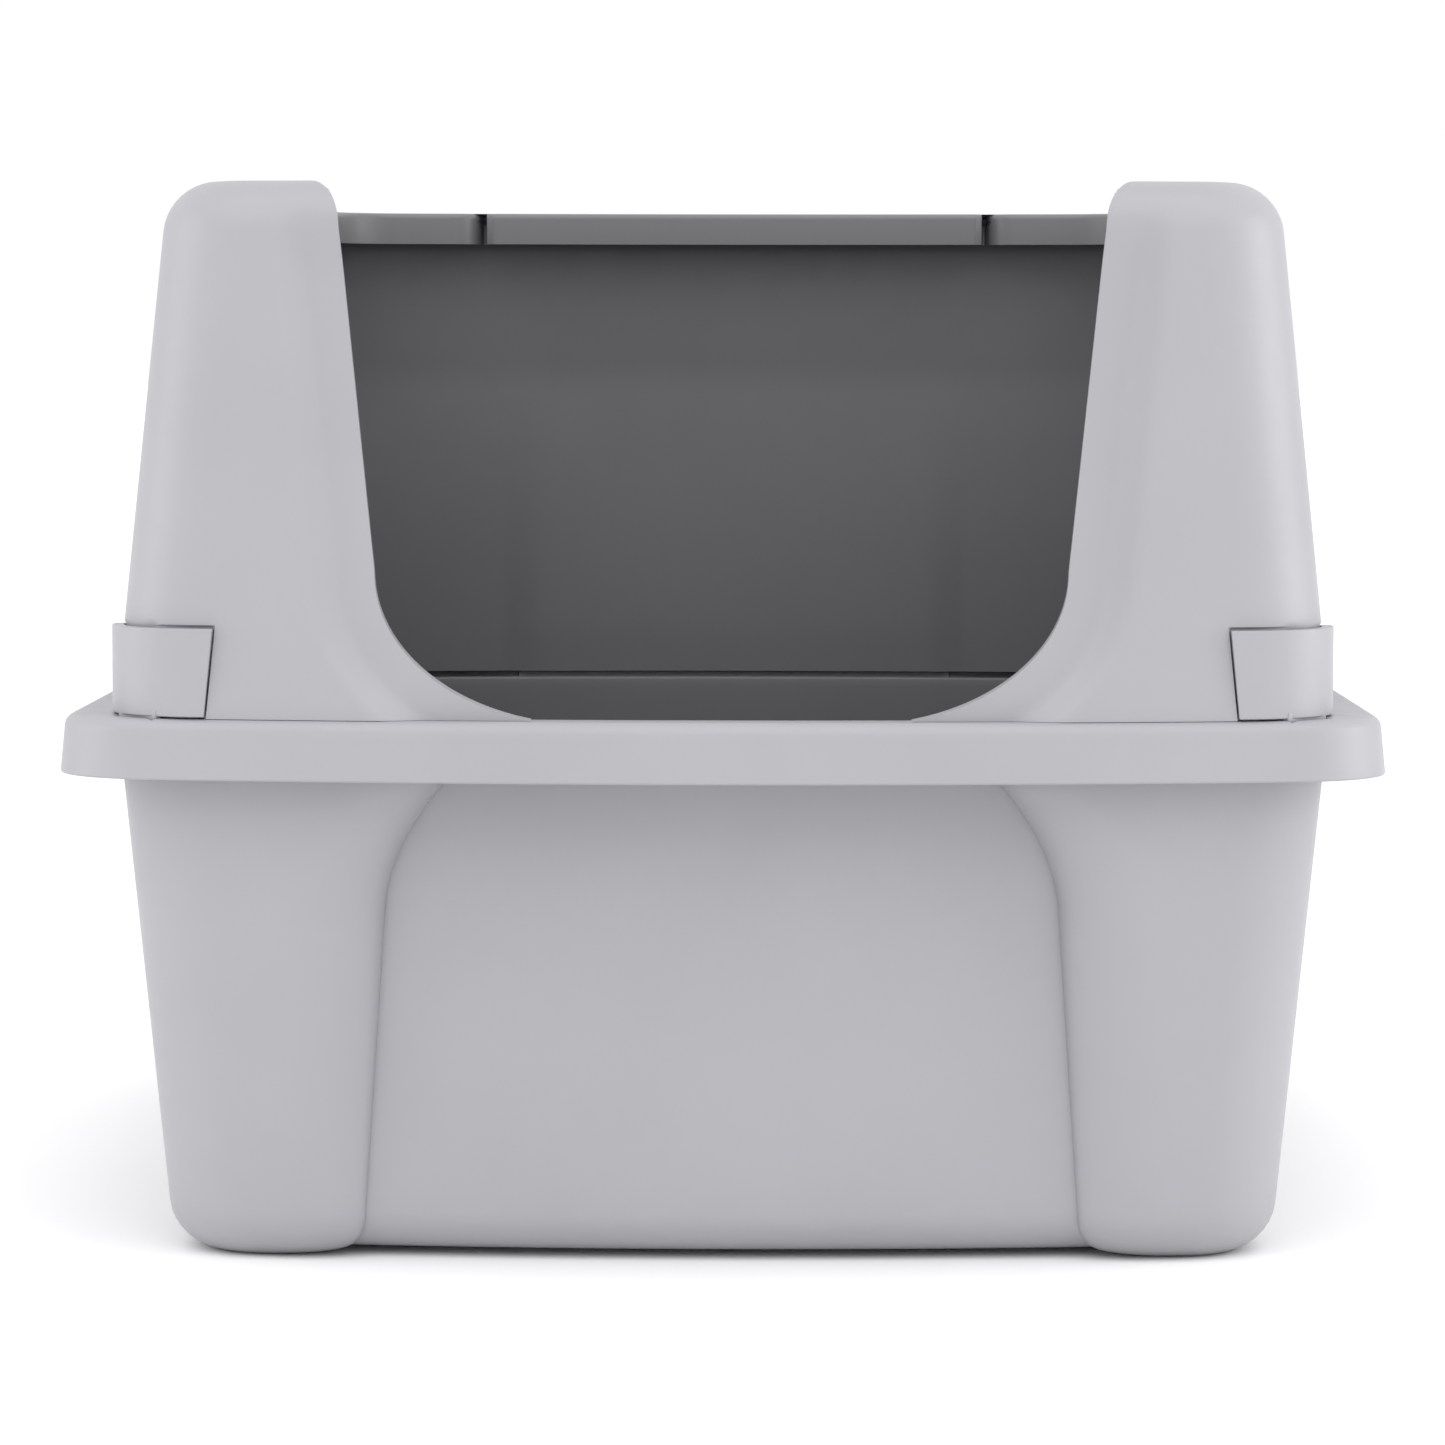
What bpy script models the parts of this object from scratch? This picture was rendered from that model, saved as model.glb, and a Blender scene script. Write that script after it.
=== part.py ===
"""Cat litter box with an open-topped hood, as an assembly of moulded plastic pieces.

Front faces -Y, +Z is up and the origin is on the floor under the middle of the box.
The base carries a loose litter pan, the two-piece hood and four corner latches.
"""

import math

import bmesh
import bpy
import numpy as np

# ---------------------------------------------------------------- driving dimensions (metres)
HALF_WIDTH = 0.205
HALF_LENGTH = 0.260
RIM_TOP = 0.170
HOOD_TOP = 0.3335

WALL = 0.0025
GAP = 0.0004
BOW = 0.487  # curvature of the front and back in plan: depth = BOW * x**2

# Rim of the base
SKIRT_HEIGHT = 0.0183
SKIRT_FLARE = 0.0018
SKIRT_WALL = 0.0025
RIM_ROUND = 0.0035
RIM_THICKNESS = 0.0065
RIM_CORNER = 0.036

# Walls of the base
BASE_WIDTH_FLOOR = 0.1727
BASE_LENGTH_FLOOR = 0.2304
BASE_DRAFT = 0.0918
BASE_CORNER = 0.030
FLOOR_ROUND = 0.015
PANEL_LIFT = 0.002
PANEL_HALF_WIDTH = 0.1115
PANEL_TAPER = 0.07
PANEL_NARROWING = 0.0157  # under the rim, between the next two heights
PANEL_NARROWS_FROM = 0.110
PANEL_NARROWEST_AT = 0.149
FRONT_RECESS = 0.008
FRONT_RECESS_GROWTH = 0.06
REAR_RECESS = 0.006
SIDE_RECESS = 0.007
POST_ROUND = 0.027  # width of the round on each post, next to the recessed panel
POST_FOOT = 0.0093  # how far the panel widens where the posts round off above the floor
POST_FOOT_HEIGHT = 0.013
RECESS_SLOPE = 0.027
SIDE_PANEL = 0.150
FOOT_INNER = 0.043
BASE_HEIGHTS = (0.050, 0.085, 0.112, 0.124, 0.136, 0.148)

# Hood
HOOD_WIDTH = 0.1875
HOOD_LENGTH = 0.2555  # to the front; the rear wall stands further in
HOOD_LENGTH_REAR = 0.2455
HOOD_DRAFT = 0.0823
HOOD_SIDE_DRAFT = 0.099
HOOD_CORNER = 0.030
HOOD_ROOT = 0.0075  # how much thicker the hood's wall is at its foot
HOOD_ROOT_TOP = 0.228
ROOF_ROUND = 0.015
ROOF = 0.0025
LIP_DEPTH = 0.0118
LIP_WALL = 0.0022
LIP_ROUND = 0.002
SPLIT_Y = -0.150
SEAT_INSET = 0.0080
SEAT_STEP = 0.004
SEAT_WALL = 0.0020
SKIRT_BOTTOM = 0.1547
SKIRT_CLEARANCE = 0.0010
HOOD_HEIGHTS = (0.178, 0.186, 0.195, 0.210, 0.250)

# Opening in the top of the hood
OPENING_SIDE = 0.152
OPENING_BACK = 0.212
OPENING_FRONT = 0.2235
OPENING_CORNER = 0.030
PILLAR_EDGE = 0.1257
OPENING_WIDEST_Y = 0.150
NOTCH_X = 0.0985
NOTCH_WIDTH = 0.006

# Entrance cut in the front of the hood
ENTRY_FLAT = 0.040
ENTRY_BEND_X = 0.0652
ENTRY_BEND_Z = 0.0465
ENTRY_SILL = 0.1685
ENTRY_DRAFT = 0.108
ENTRY_POWER = 2.05
ENTRY_FLARE_X = 0.0087
ENTRY_FLARE_Z = 0.014
FLANGE_WIDTH = 0.011
FLANGE_SLOPE = 0.013
FLANGE_DEPTH = 0.005

# Litter pan
PAN_TOP = 0.1527
PAN_CLEARANCE = 0.0066
PAN_WALL = 0.0022
PAN_FLOOR_ROUND = 0.014
PAN_CORNER = 0.040
PAN_CHAMFER = 0.0006

# Latches
LATCH_TOP = 0.1975
LATCH_BOTTOM = RIM_TOP + 0.0006
LATCH_THICKNESS = 0.003
LATCH_REACH = 0.0045  # past the ends of the corner's arc
LATCH_PROUD = 0.0008
POCKET_TOP = 0.1985
POCKET_DEPTH = 0.0036
POCKET_MARGIN = 0.0006
HINGE_Z = 0.1675
PIN_RADIUS = 0.0010
PIN_LENGTH = 0.026
BARREL_RADIUS = 0.0023
BARREL_LENGTH = 0.018
SLOT_HALF_WIDTH = 0.0030
SLOT_BOTTOM = 0.158
BORE_CLEARANCE = 0.0003

LIGHT_GREY = (0.515, 0.520, 0.545, 1.0)
DARK_GREY = (0.115, 0.117, 0.124, 1.0)
PIN_GREY = (0.30, 0.30, 0.32, 1.0)

FRONT_STATIONS = (0.0, 0.3, 0.45, 0.54, 0.61, 0.68, 0.75, 0.82, 0.9, 1.0)
SIDE_STATIONS = (-0.86, -0.76, -0.66, -0.56, 0.0, 0.56, 0.66, 0.76, 0.86)
CREASE_STEPS = (-0.0015, 0.0003, 0.002, 0.005, 0.010, 0.016, 0.0235)
CORNER_STEPS = 6


# ---------------------------------------------------------------- plan outlines
def smooth(value, start, end):
    """0 below start, 1 above end, and a smooth step between them."""
    t = np.clip((value - start) / (end - start), 0.0, 1.0)
    return t * t * (3.0 - 2.0 * t)


def corner_centre(half_width, half_length, radius):
    """Where the bowed end meets the corner's arc: (x of the join, angle there, arc's centre)."""
    join_x = half_width - radius
    for _ in range(6):
        angle = math.atan(2.0 * BOW * join_x)
        join_x = half_width - radius + radius * math.sin(angle)
    centre_y = half_length - BOW * join_x**2 - radius * math.cos(angle)
    return join_x, angle, (half_width - radius, centre_y)


def quarter(half_width, half_length, radius, stations=FRONT_STATIONS):
    """The end's half from x = 0, then its corner, in the +X +Y quadrant."""
    join_x, angle, centre = corner_centre(half_width, half_length, radius)
    points = []
    for station in stations:
        x = station * join_x
        points.append((x, half_length - BOW * x * x))
    for step in range(1, CORNER_STEPS + 1):
        turn = angle + (math.pi / 2 - angle) * step / CORNER_STEPS
        points.append((centre[0] + radius * math.sin(turn), centre[1] + radius * math.cos(turn)))
    return points


def closed_outline(front, back):
    """A full outline, anticlockwise from the front centre, from its two quarters."""
    front = [(x, -y) for x, y in front]
    low, high = front[-1], back[-1]
    side = []
    for station in SIDE_STATIONS:
        share = (station + 1.0) / 2.0
        side.append((low[0] + (high[0] - low[0]) * share, low[1] + (high[1] - low[1]) * share))
    right = front + side + back[::-1]
    left = [(-x, y) for x, y in right[1:-1]]
    return np.array(right + left[::-1])


def outline(half_width, half_length, radius, rear_length=None, stations=FRONT_STATIONS):
    rear_length = half_length if rear_length is None else rear_length
    return closed_outline(
        quarter(half_width, half_length, radius, stations),
        quarter(half_width, rear_length, radius, stations),
    )


def at_height(plan, z):
    """Plan points raised to z, one height or one for each point."""
    return np.column_stack([plan, np.broadcast_to(z, len(plan))])


def inner_of(plan, other):
    """Of two plans with matching points, whichever lies nearer the middle at each point."""
    return np.sign(plan) * np.minimum(abs(plan), abs(other))


# ---------------------------------------------------------------- base outlines
def panel_half_width(z):
    """Half-width of the recessed front panel: it narrows under the rim and widens at the feet."""
    rise = (min(z, PANEL_NARROWEST_AT) - PANEL_NARROWS_FROM) / (PANEL_NARROWEST_AT - PANEL_NARROWS_FROM)
    low = 1.0 - min(z, POST_FOOT_HEIGHT) / POST_FOOT_HEIGHT
    straight = PANEL_HALF_WIDTH - PANEL_TAPER * z
    return straight - PANEL_NARROWING * max(0.0, rise) ** 2 + POST_FOOT * (1.0 - math.sqrt(1.0 - low * low))


def front_recess(z):
    """Depth of the front panel behind the posts: the panel stands steeper than they do."""
    return FRONT_RECESS + FRONT_RECESS_GROWTH * z


def base_stations(z):
    """Stations along the base's front at height z, close together at the edge of the panel."""
    width = BASE_WIDTH_FLOOR + BASE_DRAFT * z
    join_x = corner_centre(width, BASE_LENGTH_FLOOR, BASE_CORNER)[0]
    crease = panel_half_width(z)
    return [0.0, 0.6 * crease / join_x] + [(crease + step) / join_x for step in CREASE_STEPS] + [1.0]


def base_outline(z, inset, lift=None):
    """The base's wall at height z, moved inwards by inset; its corners are posts that stand proud."""
    width = BASE_WIDTH_FLOOR + BASE_DRAFT * z
    length = BASE_LENGTH_FLOOR + BASE_DRAFT * z
    stations = base_stations(z)
    reference = outline(width, length, BASE_CORNER, stations=stations)
    past = np.clip((abs(reference[:, 0]) - panel_half_width(z)) / POST_ROUND, 0.0, 1.0)
    front = 1.0 - np.sqrt(1.0 - (1.0 - past) ** 2)
    side = 1.0 - smooth(abs(reference[:, 1]), SIDE_PANEL, SIDE_PANEL + RECESS_SLOPE)
    plan = outline(width - inset, length - inset, max(BASE_CORNER - inset, 0.006), stations=stations)
    depth = np.where(plan[:, 1] < 0.0, front_recess(z), REAR_RECESS)
    plan[:, 1] -= np.sign(plan[:, 1]) * depth * front
    plan[:, 0] -= np.sign(plan[:, 0]) * SIDE_RECESS * side
    if lift is None:
        return at_height(plan, z)
    return at_height(plan, lift[0] + lift[1] * np.maximum(front, side))


def skirt_outline(inset, z):
    flare = SKIRT_FLARE * (z - RIM_TOP + SKIRT_HEIGHT) / SKIRT_HEIGHT
    inset += flare
    return at_height(outline(HALF_WIDTH - inset, HALF_LENGTH - inset, RIM_CORNER - inset), z)


def hood_plan(z, inset, stations=FRONT_STATIONS):
    """The hood's wall at height z, moved inwards by inset: every side leans in towards the top."""
    taper = HOOD_DRAFT * (z - RIM_TOP) + inset
    return outline(
        HOOD_WIDTH - HOOD_SIDE_DRAFT * (z - RIM_TOP) - inset,
        HOOD_LENGTH - taper,
        HOOD_CORNER - inset,
        HOOD_LENGTH_REAR - taper,
        stations,
    )


# ---------------------------------------------------------------- meshes
def make_object(name, mesh_builder, material, hidden=False):
    mesh = bpy.data.meshes.new(name)
    mesh_builder.normal_update()
    mesh_builder.to_mesh(mesh)
    mesh_builder.free()
    obj = bpy.data.objects.new(name, mesh)
    bpy.context.scene.collection.objects.link(obj)
    if material:
        mesh.materials.append(material)
        mesh.shade_smooth()
        mesh.set_sharp_from_angle(angle=math.radians(35))
    if hidden:
        obj.hide_render = True
        obj.display_type = "WIRE"
    return obj


def loft(rings):
    """A closed body through rings of equal length, capped at the first and the last."""
    builder = bmesh.new()
    rows = [[builder.verts.new(point) for point in ring] for ring in rings]
    count = len(rows[0])
    for lower, upper in zip(rows, rows[1:]):
        for i in range(count):
            j = (i + 1) % count
            builder.faces.new((lower[i], lower[j], upper[j], upper[i]))
    builder.faces.new(rows[0][::-1])
    builder.faces.new(rows[-1])
    bmesh.ops.triangulate(builder, faces=[face for face in builder.faces if len(face.verts) > 4])
    bmesh.ops.recalc_face_normals(builder, faces=builder.faces)
    return builder


def loop_sweep(sections):
    """A closed body through open rows of sections, each a closed loop of four points."""
    builder = bmesh.new()
    rows = [[builder.verts.new(point) for point in section] for section in sections]
    for near, far in zip(rows, rows[1:]):
        for i in range(4):
            j = (i + 1) % 4
            builder.faces.new((near[i], near[j], far[j], far[i]))
    builder.faces.new(rows[0][::-1])
    builder.faces.new(rows[-1])
    bmesh.ops.recalc_face_normals(builder, faces=builder.faces)
    return builder


def box(low, high):
    builder = bmesh.new()
    bmesh.ops.create_cube(builder, size=1.0)
    for vert in builder.verts:
        for axis in range(3):
            vert.co[axis] = low[axis] + (vert.co[axis] + 0.5) * (high[axis] - low[axis])
    return builder


def add_boolean(target, other, operation):
    modifier = target.modifiers.new(other.name, "BOOLEAN")
    modifier.operation = operation
    modifier.solver = "EXACT"
    modifier.object = other


def material(name, colour, roughness):
    found = bpy.data.materials.new(name)
    found.use_nodes = True
    shader = found.node_tree.nodes["Principled BSDF"]
    shader.inputs["Base Color"].default_value = colour
    shader.inputs["Roughness"].default_value = roughness
    shader.inputs["Metallic"].default_value = 0.0
    return found


# ---------------------------------------------------------------- base
def base_rings():
    """The base from under its floor, up outside, over the rim and down inside."""
    rings = [
        base_outline(0.0, 0.060, (PANEL_LIFT, 0.0)),
        base_outline(0.0, FOOT_INNER + 0.002, (PANEL_LIFT, 0.0)),
        base_outline(0.0, FOOT_INNER, (0.0, PANEL_LIFT)),
    ]
    for degrees in (0, 30, 60, 90):
        turn = math.radians(degrees)
        rise = FLOOR_ROUND * (1.0 - math.cos(turn))
        inset = FLOOR_ROUND * (1.0 - math.sin(turn))
        rings.append(base_outline(rise, inset, (rise, PANEL_LIFT * math.cos(turn))))
    under_rim = RIM_TOP - RIM_THICKNESS
    for z in BASE_HEIGHTS + (under_rim,):
        rings.append(base_outline(z, 0.0))
    skirt_bottom = RIM_TOP - SKIRT_HEIGHT
    rings.append(skirt_outline(SKIRT_WALL, under_rim))
    rings.append(skirt_outline(SKIRT_WALL, skirt_bottom))
    rings.append(skirt_outline(0.0, skirt_bottom))
    for degrees in (0, 45, 90):
        turn = math.radians(degrees)
        inset = RIM_ROUND * (1.0 - math.cos(turn))
        rings.append(skirt_outline(inset, RIM_TOP - RIM_ROUND * (1.0 - math.sin(turn))))
    rings.append(at_height(hood_plan(RIM_TOP, SEAT_INSET - GAP), RIM_TOP))
    rings.append(at_height(hood_plan(RIM_TOP, SEAT_INSET - GAP), RIM_TOP - SEAT_STEP))
    for z in (RIM_TOP - SEAT_STEP, 0.157):
        step = hood_plan(RIM_TOP, SEAT_INSET, base_stations(z))
        rings.append(at_height(inner_of(base_outline(z, WALL)[:, :2], step), z))
    floor = PANEL_LIFT + WALL
    for z in BASE_HEIGHTS[::-1] + (floor + FLOOR_ROUND,):
        rings.append(base_outline(z, WALL))
    for degrees in (60, 30, 0):
        turn = math.radians(degrees)
        rise = floor + FLOOR_ROUND * (1.0 - math.cos(turn))
        rings.append(base_outline(rise, WALL + FLOOR_ROUND * (1.0 - math.sin(turn)), (rise, 0.0)))
    return rings


def make_base(grey):
    base = make_object("base_pan", loft(base_rings()), grey)
    for corner in corners():
        add_boolean(base, hinge_slot(corner), "DIFFERENCE")
        add_boolean(base, pin_hole(corner), "DIFFERENCE")
    return base


# ---------------------------------------------------------------- litter pan
def pan_plan(z, inset):
    corner = PAN_CORNER - inset
    inset += PAN_CLEARANCE - BASE_DRAFT * z
    length = BASE_LENGTH_FLOOR - inset
    return outline(
        BASE_WIDTH_FLOOR - SIDE_RECESS - inset,
        length - front_recess(z),
        corner,
        length - REAR_RECESS,
    )


def make_litter_pan(grey):
    """The loose pan: a plain tub with a chamfered top edge."""
    bottom = PANEL_LIFT + WALL + GAP
    rings = []
    for degrees in (0, 45, 90):
        turn = math.radians(degrees)
        rise = bottom + PAN_FLOOR_ROUND * (1.0 - math.cos(turn))
        rings.append(at_height(pan_plan(rise, PAN_FLOOR_ROUND * (1.0 - math.sin(turn))), rise))
    rings.append(at_height(pan_plan(PAN_TOP, 0.0), PAN_TOP - PAN_CHAMFER))
    rings.append(at_height(pan_plan(PAN_TOP, PAN_CHAMFER), PAN_TOP))
    rings.append(at_height(pan_plan(PAN_TOP, PAN_WALL - PAN_CHAMFER), PAN_TOP))
    rings.append(at_height(pan_plan(PAN_TOP, PAN_WALL), PAN_TOP - PAN_CHAMFER))
    for degrees in (90, 45, 0):
        turn = math.radians(degrees)
        rise = bottom + PAN_WALL + PAN_FLOOR_ROUND * (1.0 - math.cos(turn))
        inset = PAN_WALL + PAN_FLOOR_ROUND * (1.0 - math.sin(turn))
        rings.append(at_height(pan_plan(rise, inset), rise))
    return make_object("litter_pan", loft(rings), grey)


# ---------------------------------------------------------------- hood
def entry_distance(x, z):
    """Rough distance outside the entrance's edge, positive on the pillars."""
    centre_z = ENTRY_SILL + ENTRY_BEND_Z
    across = np.maximum(abs(x) - ENTRY_FLAT, 0.0)
    if z >= centre_z:
        return across - ENTRY_BEND_X - ENTRY_DRAFT * (z - centre_z)
    down = centre_z - z
    powers = (across / ENTRY_BEND_X) ** ENTRY_POWER + (down / ENTRY_BEND_Z) ** ENTRY_POWER
    size = powers ** (1 / ENTRY_POWER)
    return (size - 1.0) * np.hypot(across, down) / size


def hood_wall(z, inset):
    """The hood's wall at height z, with the flange round the entrance set back from the pillars."""
    plan = hood_plan(z, inset)
    distance = entry_distance(plan[:, 0], z)
    back = FLANGE_DEPTH * (1.0 - smooth(distance, FLANGE_WIDTH, FLANGE_WIDTH + FLANGE_SLOPE))
    fade = 1.0 - smooth(z, HOOD_TOP - 2 * ROOF_ROUND, HOOD_TOP)
    plan[:, 1] += np.where(plan[:, 1] < -0.2, back * fade, 0.0)
    return at_height(plan, z)


def inner_wall(z):
    """The inside of the hood's wall, which is thicker towards its foot."""
    return WALL + HOOD_ROOT * (1.0 - smooth(z, RIM_TOP, HOOD_ROOT_TOP))


def corner_wall(z):
    """The inside of the hood's wall, moved in at the corners, where the latches stand."""
    plain = hood_wall(z, inner_wall(z))
    thick = hood_plan(RIM_TOP, max(inner_wall(z), WALL + POCKET_DEPTH))
    share = np.minimum(smooth(abs(plain[:, 0]), 0.140, 0.150), smooth(abs(plain[:, 1]), 0.175, 0.190))
    plain[:, :2] += (thick - plain[:, :2]) * share[:, None]
    return plain


def opening_plan(grow):
    """Edge of the hole in the roof: narrow between the pillars, wide behind them."""
    front = quarter(PILLAR_EDGE + grow, OPENING_FRONT + grow, 0.004 + grow)
    back = quarter(OPENING_SIDE + grow, OPENING_BACK + grow, OPENING_CORNER + grow)
    plan = closed_outline(front, back)
    widening = np.clip((plan[:, 1] + OPENING_FRONT) / (OPENING_WIDEST_Y + OPENING_FRONT), 0.0, 1.0)
    on_side = (abs(plan[:, 0]) >= PILLAR_EDGE + grow - 1e-6) & (plan[:, 1] < back[-1][1] - 1e-6)
    side_x = PILLAR_EDGE + grow + (OPENING_SIDE - PILLAR_EDGE) * widening
    plan[:, 0] = np.where(on_side, np.sign(plan[:, 0]) * side_x, plan[:, 0])
    return plan


def skirt_plan(inset):
    """The hood's skirt: inside the base's wall and inside the step under the rim."""
    wall = base_outline(SKIRT_BOTTOM, WALL + SKIRT_CLEARANCE + inset)[:, :2]
    step = hood_plan(RIM_TOP, SEAT_INSET + 1.5 * GAP + inset, base_stations(SKIRT_BOTTOM))
    return inner_of(wall, step)


def hood_rings():
    """The hood from its seat on the rim, up outside, over the roof, round the lip and down inside."""
    foot = RIM_TOP + GAP
    seat = foot - SEAT_STEP
    rings = [
        at_height(skirt_plan(SKIRT_WALL), SKIRT_BOTTOM),
        at_height(skirt_plan(0.0), SKIRT_BOTTOM),
        at_height(skirt_plan(0.0), seat),
        at_height(hood_plan(RIM_TOP, SEAT_INSET), seat),
        at_height(hood_plan(RIM_TOP, SEAT_INSET), foot),
    ]
    for z in (foot, *HOOD_HEIGHTS, HOOD_TOP - ROOF_ROUND):
        rings.append(hood_wall(z, 0.0))
    for degrees in (30, 60, 90):
        turn = math.radians(degrees)
        z = HOOD_TOP - ROOF_ROUND * (1.0 - math.sin(turn))
        rings.append(hood_wall(z, ROOF_ROUND * (1.0 - math.cos(turn))))
    rings.append(at_height(opening_plan(LIP_ROUND), HOOD_TOP))
    rings.append(at_height(opening_plan(0.0), HOOD_TOP - LIP_ROUND))
    rings.append(at_height(opening_plan(0.0), HOOD_TOP - LIP_DEPTH))
    rings.append(at_height(opening_plan(LIP_WALL), HOOD_TOP - LIP_DEPTH))
    rings.append(at_height(opening_plan(LIP_WALL), HOOD_TOP - ROOF))
    for degrees in (90, 60, 30):
        turn = math.radians(degrees)
        z = HOOD_TOP - ROOF - (ROOF_ROUND - ROOF) * (1.0 - math.sin(turn))
        rings.append(hood_wall(z, WALL + (ROOF_ROUND - WALL) * (1.0 - math.cos(turn))))
    for z in (HOOD_TOP - ROOF_ROUND, 0.250, 0.225, 0.210):
        rings.append(hood_wall(z, inner_wall(z)))
    for z in (0.2005, 0.190, 0.180):
        rings.append(corner_wall(z))
    rings.append(at_height(hood_plan(RIM_TOP, SEAT_INSET + SEAT_WALL), foot + SEAT_WALL))
    rings.append(at_height(hood_plan(RIM_TOP, SEAT_INSET + SEAT_WALL), seat + SEAT_WALL))
    rings.append(at_height(skirt_plan(SKIRT_WALL), seat + SEAT_WALL))
    return rings


def entry_cutter():
    """A prism with the entrance's outline, through the front wall only."""
    side = []
    for step in range(9):
        turn = math.pi / 2 * step / 8
        reach_x = ENTRY_BEND_X * math.sin(turn) ** (2 / ENTRY_POWER)
        reach_z = ENTRY_BEND_Z * (1.0 - math.cos(turn) ** (2 / ENTRY_POWER))
        side.append((ENTRY_FLAT + reach_x, ENTRY_SILL + reach_z))
    rise = HOOD_TOP - ENTRY_FLARE_Z - side[-1][1]
    foot = side[-1][0] + ENTRY_DRAFT * rise
    for step in range(5):
        turn = math.pi / 2 * step / 4
        reach = ENTRY_FLARE_X * (1.0 - math.cos(turn))
        side.append((foot + reach, HOOD_TOP - ENTRY_FLARE_Z * (1.0 - math.sin(turn))))
    side.append((side[-1][0] + 0.0005, HOOD_TOP + 0.010))
    loop = side + [(-x, z) for x, z in side[::-1]]
    return loft([[(x, y, z) for x, z in loop] for y in (-0.212, -0.30)])


def tube_ring(rings):
    """A closed tube through rings: like a loft, but its last ring joins its first."""
    builder = bmesh.new()
    rows = [[builder.verts.new(point) for point in ring] for ring in rings]
    count = len(rows[0])
    for lower, upper in zip(rows, rows[1:] + rows[:1]):
        for i in range(count):
            j = (i + 1) % count
            builder.faces.new((lower[i], lower[j], upper[j], upper[i]))
    bmesh.ops.recalc_face_normals(builder, faces=builder.faces)
    return builder


def make_hood_half(name, keep_low_y, keep_high_y, grey, cutters):
    hood = make_object(name, tube_ring(hood_rings()), grey)
    half = make_object(name + "_half", box((-0.3, keep_low_y, 0.1), (0.3, keep_high_y, 0.4)), None, True)
    for cutter in cutters:
        add_boolean(hood, cutter, "DIFFERENCE")
    add_boolean(hood, half, "INTERSECT")
    return hood


def notch_cutter(side):
    x = side * NOTCH_X
    low = (x - NOTCH_WIDTH / 2, OPENING_BACK - 0.030, HOOD_TOP - 0.020)
    high = (x + NOTCH_WIDTH / 2, OPENING_BACK - BOW * NOTCH_X**2 + 0.0060, HOOD_TOP + 0.010)
    return make_object(f"notch_{'left' if side < 0 else 'right'}", box(low, high), None, True)


# ---------------------------------------------------------------- latches
def corners():
    """(name, x sign, y sign, hood's length) of each latch; left and right are seen from the front."""
    for end, y_sign, length in (("front", -1, HOOD_LENGTH), ("rear", 1, HOOD_LENGTH_REAR)):
        for side, x_sign in (("left", -1), ("right", 1)):
            yield f"{end}_{side}", x_sign, y_sign, length


def hinge_frame(corner):
    """(point on the wall's outline, outward direction, direction along the hinge) at mid corner."""
    _, x_sign, y_sign, length = corner
    _, _, centre = corner_centre(HOOD_WIDTH, length, HOOD_CORNER)
    outward = np.array([x_sign, y_sign, 0.0]) / math.sqrt(2.0)
    point = np.array([centre[0] * x_sign, centre[1] * y_sign, 0.0]) + HOOD_CORNER * outward
    along = np.array([-outward[1], outward[0], 0.0])
    return point, outward, along


def latch_path(corner, reach):
    """Plan points and outward normals round the corner, from the end to the side."""
    _, x_sign, y_sign, length = corner
    _, angle, centre = corner_centre(HOOD_WIDTH, length, HOOD_CORNER)
    path = []
    for step in range(9):
        turn = angle + (math.pi / 2 - angle) * step / 8
        normal = np.array([math.sin(turn), math.cos(turn)])
        path.append((np.array(centre) + HOOD_CORNER * normal, normal))
    first, normal = path[0]
    path.insert(0, (first + reach * np.array([-normal[1], normal[0]]), normal))
    last, normal = path[-1]
    path.append((last + reach * np.array([normal[1], -normal[0]]), normal))
    flip = np.array([x_sign, y_sign])
    return [(point * flip, normal * flip) for point, normal in path]


def corner_plate(corner, reach, inner, outer, low, high):
    """A plate round the corner between two offsets from the wall's outline and two heights."""
    sections = []
    for point, normal in latch_path(corner, reach):
        near = point - normal * inner
        far = point + normal * outer
        sections.append([(*near, low), (*far, low), (*far, high), (*near, high)])
    return loop_sweep(sections)


def rod(corner, radius, length, sides):
    """A round rod along the hinge's axis."""
    point, outward, along = hinge_frame(corner)
    middle = point - outward * LATCH_THICKNESS / 2 + np.array([0.0, 0.0, HINGE_Z])
    rings = []
    for end in (-0.5, 0.5):
        ring = []
        for step in range(sides):
            turn = 2 * math.pi * step / sides
            offset = outward * math.cos(turn) + np.array([0.0, 0.0, math.sin(turn)])
            ring.append(middle + along * end * length + offset * radius)
        rings.append(ring)
    return loft(rings)


def hinge_block(corner, half_width, length, low, high):
    """A straight block centred on the hinge's axis in plan."""
    point, outward, along = hinge_frame(corner)
    middle = point - outward * LATCH_THICKNESS / 2
    sections = []
    for end in (-0.5, 0.5):
        centre = middle + along * end * length
        near = centre - outward * half_width
        far = centre + outward * half_width
        sections.append([(*near[:2], low), (*far[:2], low), (*far[:2], high), (*near[:2], high)])
    return loop_sweep(sections)


def hinge_slot(corner):
    length = BARREL_LENGTH + 2.5 * GAP
    block = hinge_block(corner, SLOT_HALF_WIDTH, length, SLOT_BOTTOM, RIM_TOP + 0.008)
    return make_object("slot_" + corner[0], block, None, True)


def pin_hole(corner):
    hole = rod(corner, PIN_RADIUS + BORE_CLEARANCE, PIN_LENGTH + 0.001, 16)
    return make_object("pin_hole_" + corner[0], hole, None, True)


def pocket_cutter(corner):
    reach = LATCH_REACH + POCKET_MARGIN
    plate = corner_plate(corner, reach, POCKET_DEPTH, 0.012, RIM_TOP - 0.001, POCKET_TOP)
    return make_object("pocket_" + corner[0], plate, None, True)


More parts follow.
